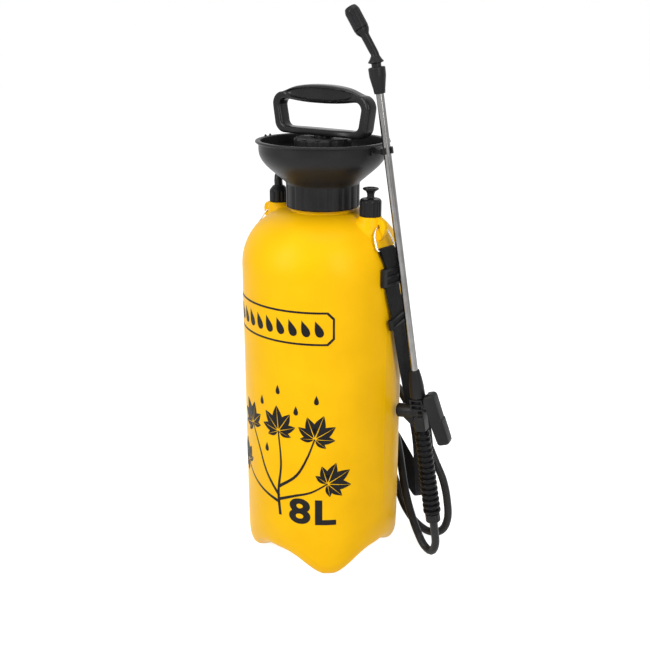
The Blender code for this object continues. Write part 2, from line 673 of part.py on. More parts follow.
build_pump_body()
PISTON_Z = CYLINDER_BOTTOM + BOTTOM_WALL + STROKE_REST
PISTON_TOP = PISTON_Z + PISTON_LENGTH
PISTON_RADIUS = CYLINDER_BORE - 0.0006
SEAL_GROOVE = 0.0036
HUB_BOTTOM = CAP_TOP + FIT
LOOP_BOTTOM = CAP_TOP + HANDLE_RISE
ROD_TOP = LOOP_BOTTOM + 0.0035


def build_piston():
    pocket = ROD_RADIUS + FIT
    groove_low = PISTON_Z + 0.45 * PISTON_LENGTH
    groove_high = groove_low + SEAL_GROOVE
    core = PISTON_RADIUS - 0.0028
    lathe("piston", [(0.0, PISTON_Z), (PISTON_RADIUS - 0.0008, PISTON_Z), (PISTON_RADIUS, PISTON_Z + 0.0008),
                     (PISTON_RADIUS, groove_low), (core, groove_low), (core, groove_high),
                     (PISTON_RADIUS, groove_high), (PISTON_RADIUS, PISTON_TOP), (pocket, PISTON_TOP),
                     (pocket, PISTON_Z + 0.0040), (0.0, PISTON_Z + 0.0040)], BLACK, 24)
    lathe("piston_seal", tube_section(CYLINDER_BORE - FIT, core + FIT, groove_low + FIT, groove_high - FIT),
          RUBBER, 24)
    lathe("pump_rod", rod_section(ROD_RADIUS, PISTON_Z + 0.0040 + FIT, ROD_TOP, 0.0006), STEEL, 20)


def loop_outline(inset, steps=5):
    """Half of the handle's outline, from its bottom middle to its top middle, at an inset from outside."""
    half = HANDLE_HALF_WIDTH
    bottom, top = LOOP_BOTTOM, LOOP_BOTTOM + HANDLE_LOOP
    if inset:
        half -= HANDLE_LIMB
        bottom += 0.0078
        top -= 0.0195
    shoulder = top - (0.0090 if not inset else -0.0028)
    narrow = half - 0.0026
    corner = 0.0135 if not inset else 0.0075
    points = [(0.0, bottom), (0.55 * half, bottom), (narrow - corner, bottom)]
    for step in range(1, steps + 1):
        angle = 0.5 * pi * step / steps
        points.append((narrow - corner + corner * sin(angle), bottom + corner * (1 - cos(angle))))
    points += [(half, shoulder - corner)]
    for step in range(1, steps + 1):
        angle = 0.5 * pi * step / steps
        points.append((half - corner + corner * cos(angle), shoulder - corner + corner * sin(angle)))
    points += [(0.55 * half, shoulder + 0.62 * (top - shoulder)), (0.28 * half, shoulder + 0.92 * (top - shoulder)),
               (0.0, top)]
    return points


def whole_outline(inset):
    half = loop_outline(inset)
    return half + [(-x, z) for x, z in half[-2:0:-1]]


def handle_half_depth(x):
    share = min(1.0, max(0.0, (abs(x) - 0.35 * HANDLE_HALF_WIDTH) / (0.38 * HANDLE_HALF_WIDTH)))
    return HANDLE_HALF_DEPTH + share * (HANDLE_END_HALF_DEPTH - HANDLE_HALF_DEPTH)


def build_handle():
    bm = bmesh.new()
    loops = []
    for inset in (0, 1):
        outline = whole_outline(inset)
        for front in (-1, 1):
            loops.append([bm.verts.new((x, front * handle_half_depth(x), z)) for x, z in outline])
    outer_front, outer_back, inner_front, inner_back = loops
    count = len(outer_front)
    edges = []
    for index in range(count):
        after = (index + 1) % count
        outer = bm.faces.new((outer_front[index], outer_front[after], outer_back[after], outer_back[index]))
        inner = bm.faces.new((inner_front[after], inner_front[index], inner_back[index], inner_back[after]))
        bm.faces.new((outer_front[after], outer_front[index], inner_front[index], inner_front[after]))
        bm.faces.new((outer_back[index], outer_back[after], inner_back[after], inner_back[index]))
        edges += [bm.edges.get((outer_front[index], outer_front[after]))]
        edges += [bm.edges.get((outer_back[index], outer_back[after]))]
        edges += [bm.edges.get((inner_front[index], inner_front[after]))]
        edges += [bm.edges.get((inner_back[index], inner_back[after]))]
    bmesh.ops.bevel(bm, geom=edges, offset=0.0026, segments=2, affect="EDGES", clamp_overlap=True)
    handle = make_object("pump_handle", bm, SATIN_BLACK)
    # The long recess along the front and the back of the grip.
    middle = LOOP_BOTTOM + HANDLE_LOOP - RECESS_DROP
    lens, corners = [], 18
    for index in range(corners):
        angle = 2 * pi * (index + 0.5) / corners
        lens.append((RECESS_HALF_WIDTH * cos(angle), middle + RECESS_HALF_HEIGHT * sin(angle)))
    for low, high in ((-HANDLE_HALF_DEPTH - PAST, -RECESS_FLOOR), (RECESS_FLOOR, HANDLE_HALF_DEPTH + PAST)):
        cut(handle, prism("recess", lens, low, high, SATIN_BLACK))
    fuse(handle, lathe("hub", rod_section(0.0092, HUB_BOTTOM, LOOP_BOTTOM + 0.0050), SATIN_BLACK, 20))
    cut(handle, lathe("rod_socket", rod_section(ROD_RADIUS + FIT, HUB_BOTTOM - 0.01, ROD_TOP + FIT),
                      SATIN_BLACK, 20))


build_piston()
build_handle()

# ---------------------------------------------------------------- hose outlet, on the left port
NUT_Z = PORT_TOP_Z + FIT
NUT_TOP = NUT_Z + NUT_HEIGHT
SPIGOT_TOP = PORT_TOP_Z + SPIGOT_HEIGHT
TAIL_RADIUS = DIP_TUBE_RADIUS - DIP_TUBE_WALL - FIT
LEFT_PORT = Matrix.Translation((-PORT_X, 0.0, 0.0))


def build_outlet():
    bore = SPIGOT_RADIUS + FIT
    roof = SPIGOT_TOP + 0.0036
    mouth = HOSE_RADIUS - 0.0012
    lathe("outlet_nut", [(bore, NUT_Z), (NUT_RADIUS, NUT_Z, 0.0007), (NUT_RADIUS, NUT_TOP - 0.0052, 0.0007),
                         (HOSE_RADIUS + 0.0012, NUT_TOP), (mouth, NUT_TOP), (mouth, roof), (bore, roof)],
          BLACK, 30, matrix=LEFT_PORT, groove_every=3)
    seal_low = SPIGOT_TOP + FIT
    seal_high = seal_low + 0.0010
    lathe("outlet_seal", tube_section(SPIGOT_RADIUS - 0.0002, DIP_TUBE_RADIUS + FIT + 0.0004,
                                      seal_low, seal_high), RUBBER, 16, matrix=LEFT_PORT)
    flange = seal_high + FIT
    tail_low = SPIGOT_TOP - 0.0120
    lathe("outlet_tail", [(TAIL_RADIUS - 0.0010, tail_low), (TAIL_RADIUS, tail_low),
                          (TAIL_RADIUS, flange), (SPIGOT_RADIUS - 0.0004, flange),
                          (SPIGOT_RADIUS - 0.0004, roof - FIT), (mouth - FIT, roof - FIT),
                          (mouth - FIT, NUT_TOP - 0.0004), (TAIL_RADIUS - 0.0010, NUT_TOP - 0.0004)],
          CLEAR, 16, matrix=LEFT_PORT)
    low = FLOOR_Z + DIP_GAP
    lathe("dip_tube", tube_section(DIP_TUBE_RADIUS, DIP_TUBE_RADIUS - DIP_TUBE_WALL, low + 0.004,
                                   SPIGOT_TOP - 0.0005), CLEAR, 16, matrix=LEFT_PORT)
    sleeve = DIP_TUBE_RADIUS + FIT
    strainer = lathe("dip_strainer", [(0.0, low - 0.004), (sleeve + 0.0012, low - 0.004),
                                      (sleeve + 0.0012, low + 0.012), (sleeve, low + 0.012),
                                      (sleeve, low - 0.0025), (0.0, low - 0.0025)],
                     BLACK, 16, matrix=LEFT_PORT)
    for turn in (0.0, pi / 2):
        across = Vector((cos(turn), sin(turn), 0.0)) * 0.0012
        along = Vector((-sin(turn), cos(turn), 0.0)) * 0.0080
        corner = Vector((abs(across.x) + abs(along.x), abs(across.y) + abs(along.y), 0.0))
        port = Vector((-PORT_X, 0.0, 0.0))
        cut(strainer, box("slot", port - corner + Vector((0.0, 0.0, low - 0.0010)),
                          port + corner + Vector((0.0, 0.0, low + 0.0030)), BLACK))


build_outlet()

# ---------------------------------------------------------------- pressure relief valve, on the right port
RIGHT_PORT = Matrix.Translation((PORT_X, 0.0, 0.0))
RELIEF_SPIGOT_TOP = PORT_TOP_Z + RELIEF_SPIGOT_HEIGHT
RELIEF_TOP = PORT_TOP_Z + FIT + RELIEF_HEIGHT
RELIEF_ROOF = RELIEF_TOP - 0.0022
RELIEF_SEAL_Z = RELIEF_SPIGOT_TOP + FIT
RELIEF_DISC_Z = RELIEF_SEAL_Z + 0.0012 + FIT
RELIEF_SPRING_Z = RELIEF_DISC_Z + 0.0012 + FIT


def build_relief():
    bore = RELIEF_SPIGOT + FIT
    low = PORT_TOP_Z + FIT
    hole = RELIEF_STEM + FIT
    lathe("relief_cap", [(bore, low), (RELIEF_RADIUS, low, 0.0007), (RELIEF_RADIUS, RELIEF_TOP - 0.0012, 0.0007),
                         (RELIEF_RADIUS - 0.0016, RELIEF_TOP), (hole, RELIEF_TOP), (hole, RELIEF_ROOF),
                         (RELIEF_CHAMBER, RELIEF_ROOF), (RELIEF_CHAMBER, RELIEF_SPIGOT_TOP + FIT),
                         (bore, RELIEF_SPIGOT_TOP + FIT)], BLACK, 36, matrix=RIGHT_PORT, groove_every=3)
    disc = RELIEF_CHAMBER - 0.0006
    lathe("relief_seal", rod_section(disc, RELIEF_SEAL_Z, RELIEF_DISC_Z - FIT), RUBBER, 20, matrix=RIGHT_PORT)
    head = RELIEF_TOP + RELIEF_KNOB_RISE
    lathe("relief_knob", [(0.0, RELIEF_DISC_Z), (disc, RELIEF_DISC_Z), (disc, RELIEF_SPRING_Z - FIT),
                          (RELIEF_STEM, RELIEF_SPRING_Z - FIT), (RELIEF_STEM, RELIEF_TOP + FIT),
                          (0.0042, RELIEF_TOP + FIT), (0.0040, head - 0.0062), (0.0052, head - 0.0040),
                          (RELIEF_KNOB, head - 0.0016), (RELIEF_KNOB, head - 0.0006),
                          (RELIEF_KNOB - 0.0012, head), (0.0, head - 0.0004)],
          BLACK, 20, matrix=RIGHT_PORT)
    wire = 0.00035
    coil = RELIEF_STEM + FIT + 2 * wire
    length = RELIEF_ROOF - FIT - RELIEF_SPRING_Z - 2 * wire
    points = [(x, y, RELIEF_SPRING_Z + wire + z) for x, y, z in helix(coil, length, 4)]
    curve_tube("relief_spring", points, wire, STEEL, matrix=RIGHT_PORT, resolution=1)


build_relief()

# ---------------------------------------------------------------- lance frame
LANCE_UP = (CLIP_POINT - GUN_POINT).normalized()


def frame_matrix(origin, up, azimuth):
    """A frame with Z along up and X as near as it goes to a compass direction from +X."""
    out = Vector((cos(azimuth), sin(azimuth), 0.0))
    out = (out - out.dot(up) * up).normalized()
    across = up.cross(out)
    turn = Matrix((out, across, up)).transposed().to_4x4()
    return Matrix.Translation(origin) @ turn


def lance_frame(name, station, azimuth):
    """An empty on the lance's axis; stations count up from the clip."""
    return make_frame(name, frame_matrix(CLIP_POINT + station * LANCE_UP, LANCE_UP, azimuth))


GUN_AZIMUTH = atan2(GUN_POINT.y, GUN_POINT.x)
GUN_STATION = VALVE_STATION - (CLIP_POINT - GUN_POINT).length
LANCE_FRAME = lance_frame("lance_frame", 0.0, 0.0)
GUN_FRAME = lance_frame("gun_frame", GUN_STATION, GUN_AZIMUTH)
BEND_FRAME = lance_frame("bend_frame", BEND_STATION, BEND_ROLL + pi)
NOZZLE_FRAME = make_frame("nozzle_frame", Matrix.Rotation(BEND_ANGLE, 4, "Y"), BEND_FRAME)
BORE = LANCE_RADIUS + FIT
LANCE_TOP = NUT_BOTTOM + 0.75 * NUT_LENGTH
LANCE_BOTTOM = GUN_STATION - 0.0040
lathe("lance_tube", tube_section(LANCE_RADIUS, LANCE_RADIUS - LANCE_WALL, LANCE_BOTTOM, LANCE_TOP),
      STEEL, 20, LANCE_FRAME)

# ---------------------------------------------------------------- lance clip on the funnel's rim


def build_clip():
    """A spring clip: a split ring round the lance, an arm, and a pad on the funnel's wall under its lip."""
    inner, outer, half = BORE, BORE + 0.0022, 0.0032
    mouth = radians(-32)
    opening = radians(32)
    bm = bmesh.new()
    rows = []
    steps = 16
    for step in range(steps + 1):
        angle = mouth + opening + (2 * pi - 2 * opening) * step / steps
        rows.append([bm.verts.new((radius * cos(angle), radius * sin(angle), height))
                     for radius, height in ((inner, -half), (outer, -half), (outer, half), (inner, half))])
    for first, second in zip(rows, rows[1:]):
        for index in range(4):
            after = (index + 1) % 4
            bm.faces.new((first[index], first[after], second[after], second[index]))
    bm.faces.new(rows[0])
    bm.faces.new(rows[-1])
    clip = make_object("lance_clip", bm, BLACK, LANCE_FRAME)
    wall = BOWL_RADIUS + FIT
    lip = RIM_Z - RIM_THICKNESS - 0.0016 - FIT
    middle = CLIP_POINT.y
    arm_end = CLIP_POINT.x - BORE - 0.0012
    bpy.context.view_layer.update()
    fuse(clip, box("arm", (wall + 0.0010, middle - 0.0018, lip - 0.0040),
                   (arm_end, middle + 0.0018, lip - 0.0004), BLACK))
    fuse(clip, box("pad", (wall, middle - 0.0050, lip - 0.0062), (wall + 0.0018, middle + 0.0050, lip), BLACK))


build_clip()

# ---------------------------------------------------------------- nozzle
NUT_TOP_STATION = NUT_BOTTOM + NUT_LENGTH
NUT_SHOULDER = NUT_BOTTOM + 0.0085
ELBOW_SPIGOT = NUT_TOP_RADIUS - 0.0024
ELBOW_LOW = NUT_SHOULDER + 0.0030
SKIRT = NUT_TOP_STATION + 0.0047
FLOW_BORE = 0.0018


def build_nozzle():
    cavity = ELBOW_SPIGOT + FIT
    lathe("nozzle_nut", [(BORE, NUT_BOTTOM), (NUT_TIP_RADIUS, NUT_BOTTOM),
                         (NUT_TIP_RADIUS + 0.66 * (NUT_TOP_RADIUS - NUT_TIP_RADIUS), NUT_BOTTOM + 0.5 * NUT_LENGTH),
                         (NUT_TOP_RADIUS, NUT_TOP_STATION - 0.0010), (NUT_TOP_RADIUS - 0.0006, NUT_TOP_STATION),
                         (cavity, NUT_TOP_STATION), (cavity, NUT_SHOULDER), (BORE, NUT_SHOULDER)],
          BLACK, 22, LANCE_FRAME)
    lathe("lance_seal", tube_section(ELBOW_SPIGOT, BORE, NUT_SHOULDER + FIT, ELBOW_LOW - FIT),
          RUBBER, 16, LANCE_FRAME)
    down = BEND_STATION
    lower = [(0.0, ELBOW_LOW - down), (ELBOW_SPIGOT, ELBOW_LOW - down),
             (ELBOW_SPIGOT, NUT_TOP_STATION - 0.0012 - down), (0.0049, NUT_TOP_STATION - 0.0002 - down),
             (0.0049, SKIRT - 0.0010 - down), (0.0079, SKIRT - down), (0.0077, SKIRT + 0.0008 - down),
             (ELBOW_RADIUS + 0.0006, SKIRT + 0.0062 - down), (ELBOW_RADIUS, 0.0012), (0.0, 0.0012)]
    elbow = lathe("nozzle_elbow", lower, BLACK, 16, BEND_FRAME)
    thread_end = ELBOW_REACH + 0.0125
    groove = ELBOW_REACH + 0.0026
    upper = [(0.0, -0.0012), (ELBOW_RADIUS, -0.0012), (ELBOW_RADIUS, ELBOW_REACH - 0.0070),
             (NOZZLE_THREAD + 0.0008, ELBOW_REACH - 0.0030), (NOZZLE_CAP_RADIUS - 0.0006, ELBOW_REACH - 0.0012),
             (NOZZLE_CAP_RADIUS - 0.0006, ELBOW_REACH - FIT), (NOZZLE_THREAD, ELBOW_REACH - FIT),
             (NOZZLE_THREAD, groove), (NOZZLE_THREAD - 0.0011, groove), (NOZZLE_THREAD - 0.0011, groove + 0.0020),
             (NOZZLE_THREAD, groove + 0.0020), (NOZZLE_THREAD, thread_end - 0.0006),
             (NOZZLE_THREAD - 0.0006, thread_end), (0.0, thread_end)]
    ball = ELBOW_RADIUS + 0.0004
    knee = [(0.0, -ball)] + [(ball * cos(radians(step)), ball * sin(radians(step))) for step in range(-60, 61, 30)]
    fuse(elbow, lathe("knee", knee + [(0.0, ball)], BLACK, 14, BEND_FRAME))
    fuse(elbow, lathe("upper", upper, BLACK, 16, NOZZLE_FRAME))
    cut(elbow, lathe("socket", rod_section(BORE, ELBOW_LOW - 0.01 - down, LANCE_TOP + FIT - down),
                     BLACK, 16, BEND_FRAME))
    cut(elbow, lathe("lower_bore", rod_section(FLOW_BORE, LANCE_TOP - 0.001 - down, 0.0005), BLACK, 10, BEND_FRAME))
    cut(elbow, lathe("upper_bore", rod_section(0.96 * FLOW_BORE, -0.0009, thread_end + 0.01), BLACK, 11,
                     NOZZLE_FRAME))
    lathe("nozzle_oring", tube_section(NOZZLE_THREAD - 0.0001, NOZZLE_THREAD - 0.0011 + FIT,
                                       groove + FIT, groove + 0.0020 - FIT), RUBBER, 14, NOZZLE_FRAME)
    core = thread_end + FIT
    lathe("nozzle_core", [(0.0, core - 0.0040), (FLOW_BORE - FIT, core - 0.0040), (FLOW_BORE - FIT, core),
                          (0.0034, core), (0.0034, core + 0.0020), (0.0010, core + 0.0042), (0.0, core + 0.0042)],
          CLEAR, 12, NOZZLE_FRAME)
    low = ELBOW_REACH + FIT
    high = low + NOZZLE_CAP_LENGTH
    bore = NOZZLE_THREAD + FIT
    roof = core + 0.0048
    section = [(bore, low), (NOZZLE_CAP_RADIUS - 0.0004, low), (NOZZLE_CAP_RADIUS, low + 0.0006, 0.0006),
               (NOZZLE_CAP_RADIUS, high - 0.0022, 0.0006), (NOZZLE_CAP_RADIUS - 0.0016, high - 0.0004),
               (NOZZLE_CAP_RADIUS - 0.0024, high), (0.0030, high), (0.0009, high - 0.0030),
               (0.0009, roof), (bore, roof - 0.0012)]
    lathe("nozzle_cap", section, BLACK, 33, NOZZLE_FRAME, groove_every=3)


build_nozzle()

# ---------------------------------------------------------------- trigger gun
BLOCK_BOTTOM = -(FRAME_LENGTH + BLOCK_LENGTH)
GRIP_BOTTOM = BLOCK_BOTTOM - GRIP_LENGTH
STEM_END = GRIP_BOTTOM - 0.0058
HOSE_NUT_BOTTOM = GRIP_BOTTOM - HOSE_NUT_LENGTH
CHAMBER_FRONT = -0.0085
PIN_HEAD = CHAMBER_FRONT - 0.0028
CAP_PLUG = 0.0030


def gun_pin(name, radius, start_x, end_x, shade, segments=16):
    """A pin along the valve's axis, which crosses the lance's axis along X."""
    return pin(name, radius, (start_x, 0.0, -VALVE_STATION), (end_x, 0.0, -VALVE_STATION), shade,
               GUN_FRAME, segments)


def build_gun_body():
    core = [(0.0, STEM_END), (STEM_RADIUS, STEM_END), (STEM_RADIUS, BLOCK_BOTTOM + 0.0010),
            (STEM_RADIUS + 0.0004, BLOCK_BOTTOM + 0.0010), (STEM_RADIUS + 0.0004, 0.0), (GUN_SPIGOT, 0.0),
            (GUN_SPIGOT, GUN_SPIGOT_LENGTH), (0.0, GUN_SPIGOT_LENGTH)]
    body = lathe("gun_body", core, BLACK, 16, GUN_FRAME)
    wide, deep = GUN_HALF_WIDTH, GUN_HALF_DEPTH
    slim, shallow = wide - 0.0013, deep - 0.0015
    fuse(body, box("block", (-slim, -shallow, BLOCK_BOTTOM), (slim, shallow, -FRAME_LENGTH), BLACK, GUN_FRAME,
                   bevel=0.0016))
    for side in (-1, 1):
        rail = sorted((side * (wide - 0.0003), side * (wide - 0.0021)))
        fuse(body, box("rail", (rail[0], -deep + 0.0011, -FRAME_LENGTH - 0.0018),
                       (rail[1], deep - 0.0013, -0.0008), BLACK, GUN_FRAME))
    for index in range(FRAME_RIBS):
        level = -FIT - FRAME_LENGTH * index / FRAME_RIBS
        fuse(body, box("rib", (0.0006 - wide, -deep, level - 0.0015), (wide - 0.0007, deep, level),
                       BLACK, GUN_FRAME))
    fuse(body, gun_pin("boss", VALVE_RADIUS, 0.0011, -VALVE_REACH, BLACK, 16))
    low = -VALVE_STATION - VALVE_RADIUS + 0.0012
    web = [(-VALVE_REACH + 0.0020, low), (-VALVE_REACH + 0.0040, low - 0.0022),
           (-wide + 0.0006, BLOCK_BOTTOM + 0.0020), (-wide + 0.0006, low)]
    fuse(body, prism("web", web, -0.0019, 0.0019, BLACK, GUN_FRAME))
    clear_of_collar = COLLAR_END_RADIUS + 2 * FIT
    ear = [(wide - 0.0016, -0.0012), (clear_of_collar, -0.0012), (clear_of_collar, 0.0012),
           (LEVER_PIVOT_X, 0.0031 - LEVER_PIVOT_STATION), (LEVER_PIVOT_X + 0.0027, -LEVER_PIVOT_STATION),
           (LEVER_PIVOT_X + 0.0009, -0.0033 - LEVER_PIVOT_STATION), (wide - 0.0016, -0.0061)]
    ear_half = LEVER_WIDTH / 2 - LEVER_SHEET - FIT
    fuse(body, prism("ear", ear, -ear_half, ear_half, BLACK, GUN_FRAME))
    cut(body, pin("pivot_hole", PIVOT_RADIUS + FIT, (LEVER_PIVOT_X, -0.02, -LEVER_PIVOT_STATION),
                  (LEVER_PIVOT_X, 0.02, -LEVER_PIVOT_STATION), BLACK, GUN_FRAME, 16))
    cut(body, gun_pin("chamber", VALVE_CHAMBER, CHAMBER_FRONT, -VALVE_REACH - 0.01, BLACK, 15))
    cut(body, gun_pin("pin_bore", VALVE_PIN + FIT, CHAMBER_FRONT - 0.001, PAST, BLACK, 11))
    seat, above, below = -0.0040 - FIT, GUN_SPIGOT_LENGTH + 0.01, STEM_END - 0.01
    cut(body, lathe("bores", [(0.0, below), (STEM_BORE, below), (STEM_BORE, seat), (BORE, seat), (BORE, above),
                              (0.0, above)], BLACK, 14, GUN_FRAME, Matrix.Rotation(radians(7), 4, "Z")))


def build_collar():
    cavity = GUN_SPIGOT + FIT
    roof = GUN_SPIGOT_LENGTH + 0.0030
    lathe("lance_collar", [(cavity, FIT), (COLLAR_END_RADIUS, FIT), (COLLAR_END_RADIUS, 0.0030),
                           (COLLAR_END_RADIUS - 0.0006, 0.48 * COLLAR_LENGTH),
                           (COLLAR_TIP_RADIUS, COLLAR_LENGTH), (BORE, COLLAR_LENGTH), (BORE, roof),
                           (cavity, roof)], BLACK, 22, GUN_FRAME)
    lathe("collar_seal", tube_section(GUN_SPIGOT, BORE, GUN_SPIGOT_LENGTH + FIT, roof - FIT),
          RUBBER, 16, GUN_FRAME)


def build_grip():
    """A sleeve on the gun's stem with rounded ribs that grow towards the hose."""
    top, bottom = BLOCK_BOTTOM - FIT, GRIP_BOTTOM
    bore = STEM_RADIUS + FIT
    pitch = (top - bottom) / GRIP_RIBS
    section = [(bore, bottom)]
    for index in range(GRIP_RIBS):
        share = 1.0 - (index + 0.5) / GRIP_RIBS
        reach = GRIP_TOP_RADIUS + share * (GRIP_BOTTOM_RADIUS - GRIP_TOP_RADIUS)
        middle = bottom + (index + 0.5) * pitch
        section += [(GRIP_CORE, middle - 0.42 * pitch), (reach, middle - 0.20 * pitch),
                    (reach, middle + 0.24 * pitch)]
    section += [(GRIP_CORE, top), (bore, top)]
    lathe("grip", section, BLACK, 14, GUN_FRAME)


def build_valve():
    lathe_x = GUN_FRAME
    stop = -VALVE_REACH
    seal = Matrix.Translation((0.0, 0.0, -VALVE_STATION)) @ Matrix.Rotation(-pi / 2, 4, "Y")
    # In this frame +Z runs along -X of the gun, out through the valve's chamber.
    lathe("valve_seal", tube_section(VALVE_CHAMBER - 0.0008, VALVE_PIN + FIT, -CHAMBER_FRONT + FIT,
                                     -PIN_HEAD - FIT), RUBBER, 16, lathe_x, seal)
    tip = LEVER_PIVOT_X + 0.0037
    lathe("valve_pin", [(0.0, -tip), (VALVE_PIN - 0.0004, -tip), (VALVE_PIN, 0.0005 - tip),
                        (VALVE_PIN, -PIN_HEAD), (VALVE_CHAMBER - 0.0012, -PIN_HEAD),
                        (VALVE_CHAMBER - 0.0012, 0.0012 - PIN_HEAD), (0.0, 0.0012 - PIN_HEAD)],
          STEEL, 16, lathe_x, seal)
    lathe("valve_cap", [(0.0, -stop - CAP_PLUG), (VALVE_CHAMBER - FIT, -stop - CAP_PLUG),
                        (VALVE_CHAMBER - FIT, -stop + FIT), (VALVE_RADIUS, -stop + FIT),
                        (VALVE_RADIUS, -stop + 0.0020), (VALVE_RADIUS - 0.0022, -stop + 0.0036),
                        (0.0, -stop + 0.0040)], BLACK, 20, lathe_x, seal)
    wire = 0.0003
    start = 0.0012 - PIN_HEAD + FIT + wire
    length = -stop - CAP_PLUG - FIT - wire - start
    points = [(x, y, start + z) for x, y, z in helix(0.0030, length, 4)]
    curve_tube("valve_spring", points, wire, STEEL, lathe_x, seal, resolution=1)


def build_lever():
    place = Matrix.Translation((LEVER_PIVOT_X, 0.0, -LEVER_PIVOT_STATION))
    turn = Matrix.Rotation(-LEVER_ANGLE, 4, "Y")
    top, bottom = 0.0060, 0.0060 - LEVER_LENGTH
    back, front = -0.0030, LEVER_DEPTH - 0.0030
    step = 0.48 * bottom
    outline = [(back, top - 0.0082), (back + 0.0012, top - 0.0060), (back + 0.0028, top - 0.0004),
               (back + 0.0036, top), (front - 0.0022, top), (front - 0.0005, top - 0.0022),
               (front - 0.0005, step + 0.0004), (front, step), (front, bottom + 0.0035),
               (front - 0.0026, bottom), (back + 0.0006, bottom), (back, bottom + 0.0008)]
    half = LEVER_WIDTH / 2
    lever = prism("trigger_lever", outline, -half, half, BLACK, GUN_FRAME, place @ turn)
    pocket = [(back - 0.01, top - 0.0018), (front - 0.0005 - LEVER_SHEET, top - 0.0018),
              (front - 0.0005 - LEVER_SHEET, bottom + LEVER_SHEET), (back - 0.01, bottom + LEVER_SHEET)]
    cut(lever, prism("pocket", pocket, LEVER_SHEET - half, half - LEVER_SHEET, BLACK, GUN_FRAME, place @ turn))
    level = -(VALVE_STATION - LEVER_PIVOT_STATION) / cos(LEVER_ANGLE)
    pusher = [(0.0010, level + 0.0028), (front - 0.0010, level + 0.0040), (front - 0.0010, level - 0.0040),
              (0.0010, level - 0.0028)]
    fuse(lever, prism("pusher", pusher, -0.0030, 0.0030, BLACK, GUN_FRAME, place @ turn))
    ends = [(LEVER_PIVOT_X, y, -LEVER_PIVOT_STATION) for y in (-0.02, 0.02)]
    cut(lever, pin("pivot_hole", PIVOT_RADIUS + FIT, *ends, BLACK, GUN_FRAME, 16))
    reach = LEVER_WIDTH / 2 - 0.0002
    ends = [(LEVER_PIVOT_X, y, -LEVER_PIVOT_STATION) for y in (-reach, reach)]
    pin("lever_pin", PIVOT_RADIUS, *ends, STEEL, GUN_FRAME, 16)


def build_hose_end():
    bore = STEM_RADIUS + FIT
    mouth = HOSE_RADIUS - 0.0012
    flange = STEM_END - FIT
    shelf = flange - 0.0012 - FIT
    low = HOSE_NUT_BOTTOM
    lathe("hose_nut", [(mouth, low), (HOSE_RADIUS + 0.0016, low), (HOSE_NUT_RADIUS, low + 0.0018, 0.0006),
                       (HOSE_NUT_RADIUS, GRIP_BOTTOM - FIT - 0.0006, 0.0006),
                       (HOSE_NUT_RADIUS - 0.0006, GRIP_BOTTOM - FIT), (bore, GRIP_BOTTOM - FIT),
                       (bore, shelf), (mouth, shelf)], BLACK, 30, GUN_FRAME, groove_every=3)
    lathe("hose_tail", [(0.0016, low + 0.0004), (mouth - FIT, low + 0.0004), (mouth - FIT, shelf + FIT),
                        (STEM_RADIUS - 0.0002, shelf + FIT), (STEM_RADIUS - 0.0002, flange), (0.0016, flange)],
          CLEAR, 14, GUN_FRAME)


build_gun_body()
build_collar()
build_grip()
build_valve()
build_lever()
build_hose_end()

# ---------------------------------------------------------------- hose
# It leaves the outlet, goes behind the tank, shows as two loops beside the gun and ends in the gun's nut.
HOSE_START = Vector((-PORT_X, 0.0, NUT_TOP + FIT))
HOSE_END = GUN_FRAME.matrix_local @ Vector((0.0, 0.0, HOSE_NUT_BOTTOM - FIT))
HOSE_ROUTE = [(-0.0640, 0.0120, 0.4535), (-0.0600, 0.0330, 0.4590), (-0.0540, 0.0540, 0.4490),
              (-0.0490, 0.0740, 0.4190), (-0.0460, 0.0870, 0.3700), (-0.0360, 0.0925, 0.3000),
              (-0.0190, 0.0960, 0.2200), (0.0030, 0.0985, 0.1430), (0.0260, 0.0955, 0.0880),
              (0.0500, 0.0870, 0.0520), (0.0640, 0.0830, 0.0320), (0.0830, 0.0810, 0.0165),
              (0.1020, 0.0835, 0.0090), (0.1165, 0.0870, 0.0140), (0.1230, 0.0900, 0.0300),
              (0.1195, 0.0930, 0.0550), (0.1120, 0.0935, 0.0800), (0.1010, 0.0925, 0.1010),
              (0.0860, 0.0940, 0.1250), (0.0670, 0.0980, 0.1470), (0.0450, 0.1030, 0.1670),
              (0.0180, 0.1085, 0.1880), (-0.0060, 0.1120, 0.1980), (-0.0300, 0.1120, 0.1900),
              (-0.0420, 0.1115, 0.1660), (-0.0370, 0.1120, 0.1400), (-0.0160, 0.1130, 0.1240),
              (0.0120, 0.1120, 0.1230), (0.0370, 0.0980, 0.1170), (0.0540, 0.0830, 0.1030),
              (0.0660, 0.0730, 0.0840), (0.0780, 0.0640, 0.0640), (0.0920, 0.0570, 0.0420),
              (0.1060, 0.0520, 0.0230), (0.1190, 0.0480, 0.0120), (0.1300, 0.0455, 0.0110),
              (0.1355, 0.0445, 0.0210)]
LEAD = 2 * HOSE_RADIUS       # the hose runs straight for one diameter at each end
HOSE_SPACING = 0.0205


def build_hose():
    first = [HOSE_START, HOSE_START + Vector((0.0, 0.0, LEAD))]
    last = [HOSE_END - LEAD * LANCE_UP, HOSE_END]
    route = [beside_funnel(point) if point[2] > NECK_BASE_Z else beside_tank(point) for point in HOSE_ROUTE]
    middle = even_route(first + route + last, HOSE_SPACING)
    middle = [point for point in middle if min((point - first[0]).length, (point - last[1]).length) > 1.8 * LEAD]
    curve_tube("hose", first + middle + last, HOSE_RADIUS, HOSE_BLACK, resolution=2)


build_hose()

